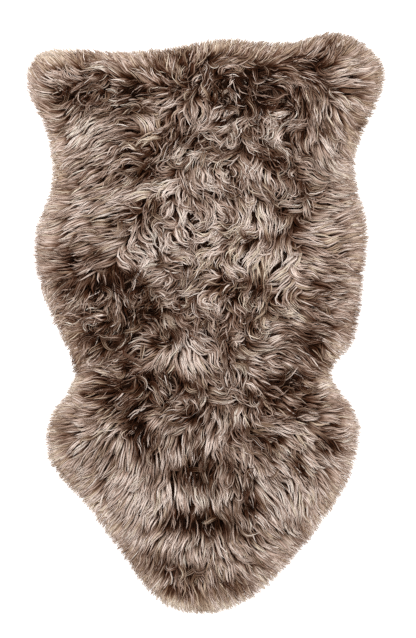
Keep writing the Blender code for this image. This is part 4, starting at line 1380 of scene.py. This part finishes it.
class Paint:
    """A material in the making: its shader and the nodes that feed it."""

    def __init__(self, name):
        self.material = bpy.data.materials.new(name)
        self.material.use_nodes = True
        self.tree = self.material.node_tree
        self.shader = self.tree.nodes["Principled BSDF"]

    def add(self, kind, place=None, **values):
        node = self.tree.nodes.new(kind)
        set_inputs(node, **values)
        if place is not None:
            self.tree.links.new(place, node.inputs["Vector"])
        return node

    def feed(self, output, name):
        self.tree.links.new(output, self.shader.inputs[name])

    def ramp(self, place, stops, interpolation="LINEAR"):
        node = self.add("ShaderNodeValToRGB")
        node.color_ramp.interpolation = interpolation
        marks = node.color_ramp.elements
        while len(marks) < len(stops):
            marks.new(1.0)
        for mark, (position, colour) in zip(marks, stops):
            mark.position = position
            mark.color = (*colour, 1)
        self.tree.links.new(place, node.inputs[0])
        return node.outputs[0]

    def work_out(self, operation, *values):
        node = self.add("ShaderNodeMath")
        node.operation = operation
        for socket, value in zip(node.inputs, values):
            if isinstance(value, (int, float)):
                socket.default_value = value
            else:
                self.tree.links.new(value, socket)
        return node.outputs[0]

    def roughen(self, pattern, roughness):
        least, more = roughness
        self.feed(self.work_out("MULTIPLY_ADD", pattern, more, least), "Roughness")

    def emboss(self, pattern, strength, distance):
        bump = self.add("ShaderNodeBump", Strength=strength, Distance=distance)
        self.tree.links.new(pattern, bump.inputs["Height"])
        self.feed(bump.outputs[0], "Normal")


def wool_material():
    """Wool coloured by its place on the map: dark to pale upwards, and across by its fibres and hue."""
    paint = Paint("wool")
    uv = paint.add("ShaderNodeUVMap")
    uv.uv_map = "OFBake"
    across, pale = paint.add("ShaderNodeSeparateXYZ", uv.outputs[0]).outputs[:2]
    stretch = paint.add("ShaderNodeMapping", uv.outputs[0], Scale=FIBRE_STRETCH)
    fibres = paint.add("ShaderNodeTexNoise", stretch.outputs[0], Scale=1.0, Detail=2.0)
    fibres.noise_dimensions = "2D"
    place = paint.work_out("MULTIPLY_ADD", fibres.outputs[0], FIBRE_CONTRAST, pale)
    place = paint.work_out("SUBTRACT", place, FIBRE_CONTRAST / 2)
    blend = paint.add("ShaderNodeMix")
    blend.data_type = "RGBA"
    blend.blend_type = "MULTIPLY"
    set_inputs(blend, Factor=1.0)
    paint.tree.links.new(paint.ramp(place, WOOL_COLOURS), blend.inputs["A"])
    paint.tree.links.new(paint.ramp(across, WOOL_TINTS, "CONSTANT"), blend.inputs["B"])
    paint.feed(blend.outputs["Result"], "Base Color")
    paint.roughen(fibres.outputs[0], WOOL_ROUGHNESS)
    set_inputs(paint.shader, Specular_IOR_Level=0.06)
    return paint.material


def underwool_material():
    """Dark curly wool seen deep between the locks, its darkness partly painted shade."""
    paint = Paint("underwool")
    place = paint.add("ShaderNodeTexCoord").outputs["Object"]
    swirl = paint.add("ShaderNodeTexNoise", place, Scale=55, Detail=1)
    curls = paint.add("ShaderNodeTexWave", place, Scale=60, Distortion=9, Detail=2, Detail_Scale=1.2)
    felt = paint.work_out("MULTIPLY", curls.outputs["Fac"], swirl.outputs[0])
    paint.feed(paint.ramp(felt, FELT_COLOURS), "Base Color")
    paint.emboss(felt, strength=0.6, distance=1.5 * MM)
    set_inputs(paint.shader, Roughness=0.9, Specular_IOR_Level=0.1)
    return paint.material


def pelt_material():
    """The suede of the skin's bare side."""
    paint = Paint("suede")
    place = paint.add("ShaderNodeTexCoord").outputs["Object"]
    patches = paint.add("ShaderNodeTexNoise", place, Scale=9, Detail=5)
    nap = paint.add("ShaderNodeTexNoise", place, Scale=700, Detail=3)
    paint.feed(paint.ramp(patches.outputs[0], SUEDE_COLOURS), "Base Color")
    paint.emboss(nap.outputs[0], strength=0.35, distance=0.4 * MM)
    paint.roughen(nap.outputs[0], SUEDE_ROUGHNESS)
    set_inputs(paint.shader, Specular_IOR_Level=0.2, Sheen_Weight=0.25, Sheen_Roughness=0.5)
    return paint.material


def make_stage():
    """A plain pale floor."""
    mesh = bpy.data.meshes.new("floor")
    corners = [(x * FLOOR_HALF, y * FLOOR_HALF, 0) for x, y in ((-1, -1), (1, -1), (1, 1), (-1, 1))]
    mesh.from_pydata(corners, [], [(0, 1, 2, 3)])
    paint = Paint("floor")
    set_inputs(paint.shader, Base_Color=(FLOOR_PALE, FLOOR_PALE, FLOOR_PALE, 1), Roughness=0.9)
    set_inputs(paint.shader, Emission_Color=(1, 1, 1, 1), Emission_Strength=FLOOR_GLOW)
    add_object("floor", mesh, paint.material)


def make_lights():
    """Even light from all round, and two soft lamps that shine on the middle."""
    world = bpy.data.worlds.new("studio")
    world.use_nodes = True
    set_inputs(world.node_tree.nodes["Background"], Color=(1, 1, 1, 1), Strength=SKY)
    bpy.context.scene.world = world
    for name, spot, size, power in LAMPS:
        light = bpy.data.lights.new(name, "AREA")
        light.size = size
        light.energy = power
        lamp = bpy.data.objects.new(name, light)
        lamp.location = spot
        lamp.rotation_euler = (-Vector(spot)).to_track_quat("-Z", "Y").to_euler()
        bpy.context.scene.collection.objects.link(lamp)


def make_camera():
    """A camera that looks straight down."""
    data = bpy.data.cameras.new("camera")
    data.lens = LENS
    data.sensor_width = SENSOR
    camera = bpy.data.objects.new("camera", data)
    camera.location = (*CAMERA_SPOT, VIEW_HEIGHT + VIEW_LENGTH * LENS / SENSOR)
    bpy.context.scene.collection.objects.link(camera)
    bpy.context.scene.camera = camera
    bpy.context.scene.view_settings.view_transform = "Standard"
    bpy.context.scene.cycles.use_denoising = False


make_camera()
make_lights()
make_stage()
skin = skin_outline()
edge = wool_outline(skin)
fields = wool_fields(skin, edge)
wool_pieces = make_wool(wool_material(), edge, fields)
underwool = make_underwool(underwool_material(), skin, fields)
for piece in (*wool_pieces, underwool):
    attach(piece, "root")
    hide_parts("fleece")
pelt = make_pelt(pelt_material(), skin)
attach(pelt, "root")
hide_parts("pelt")
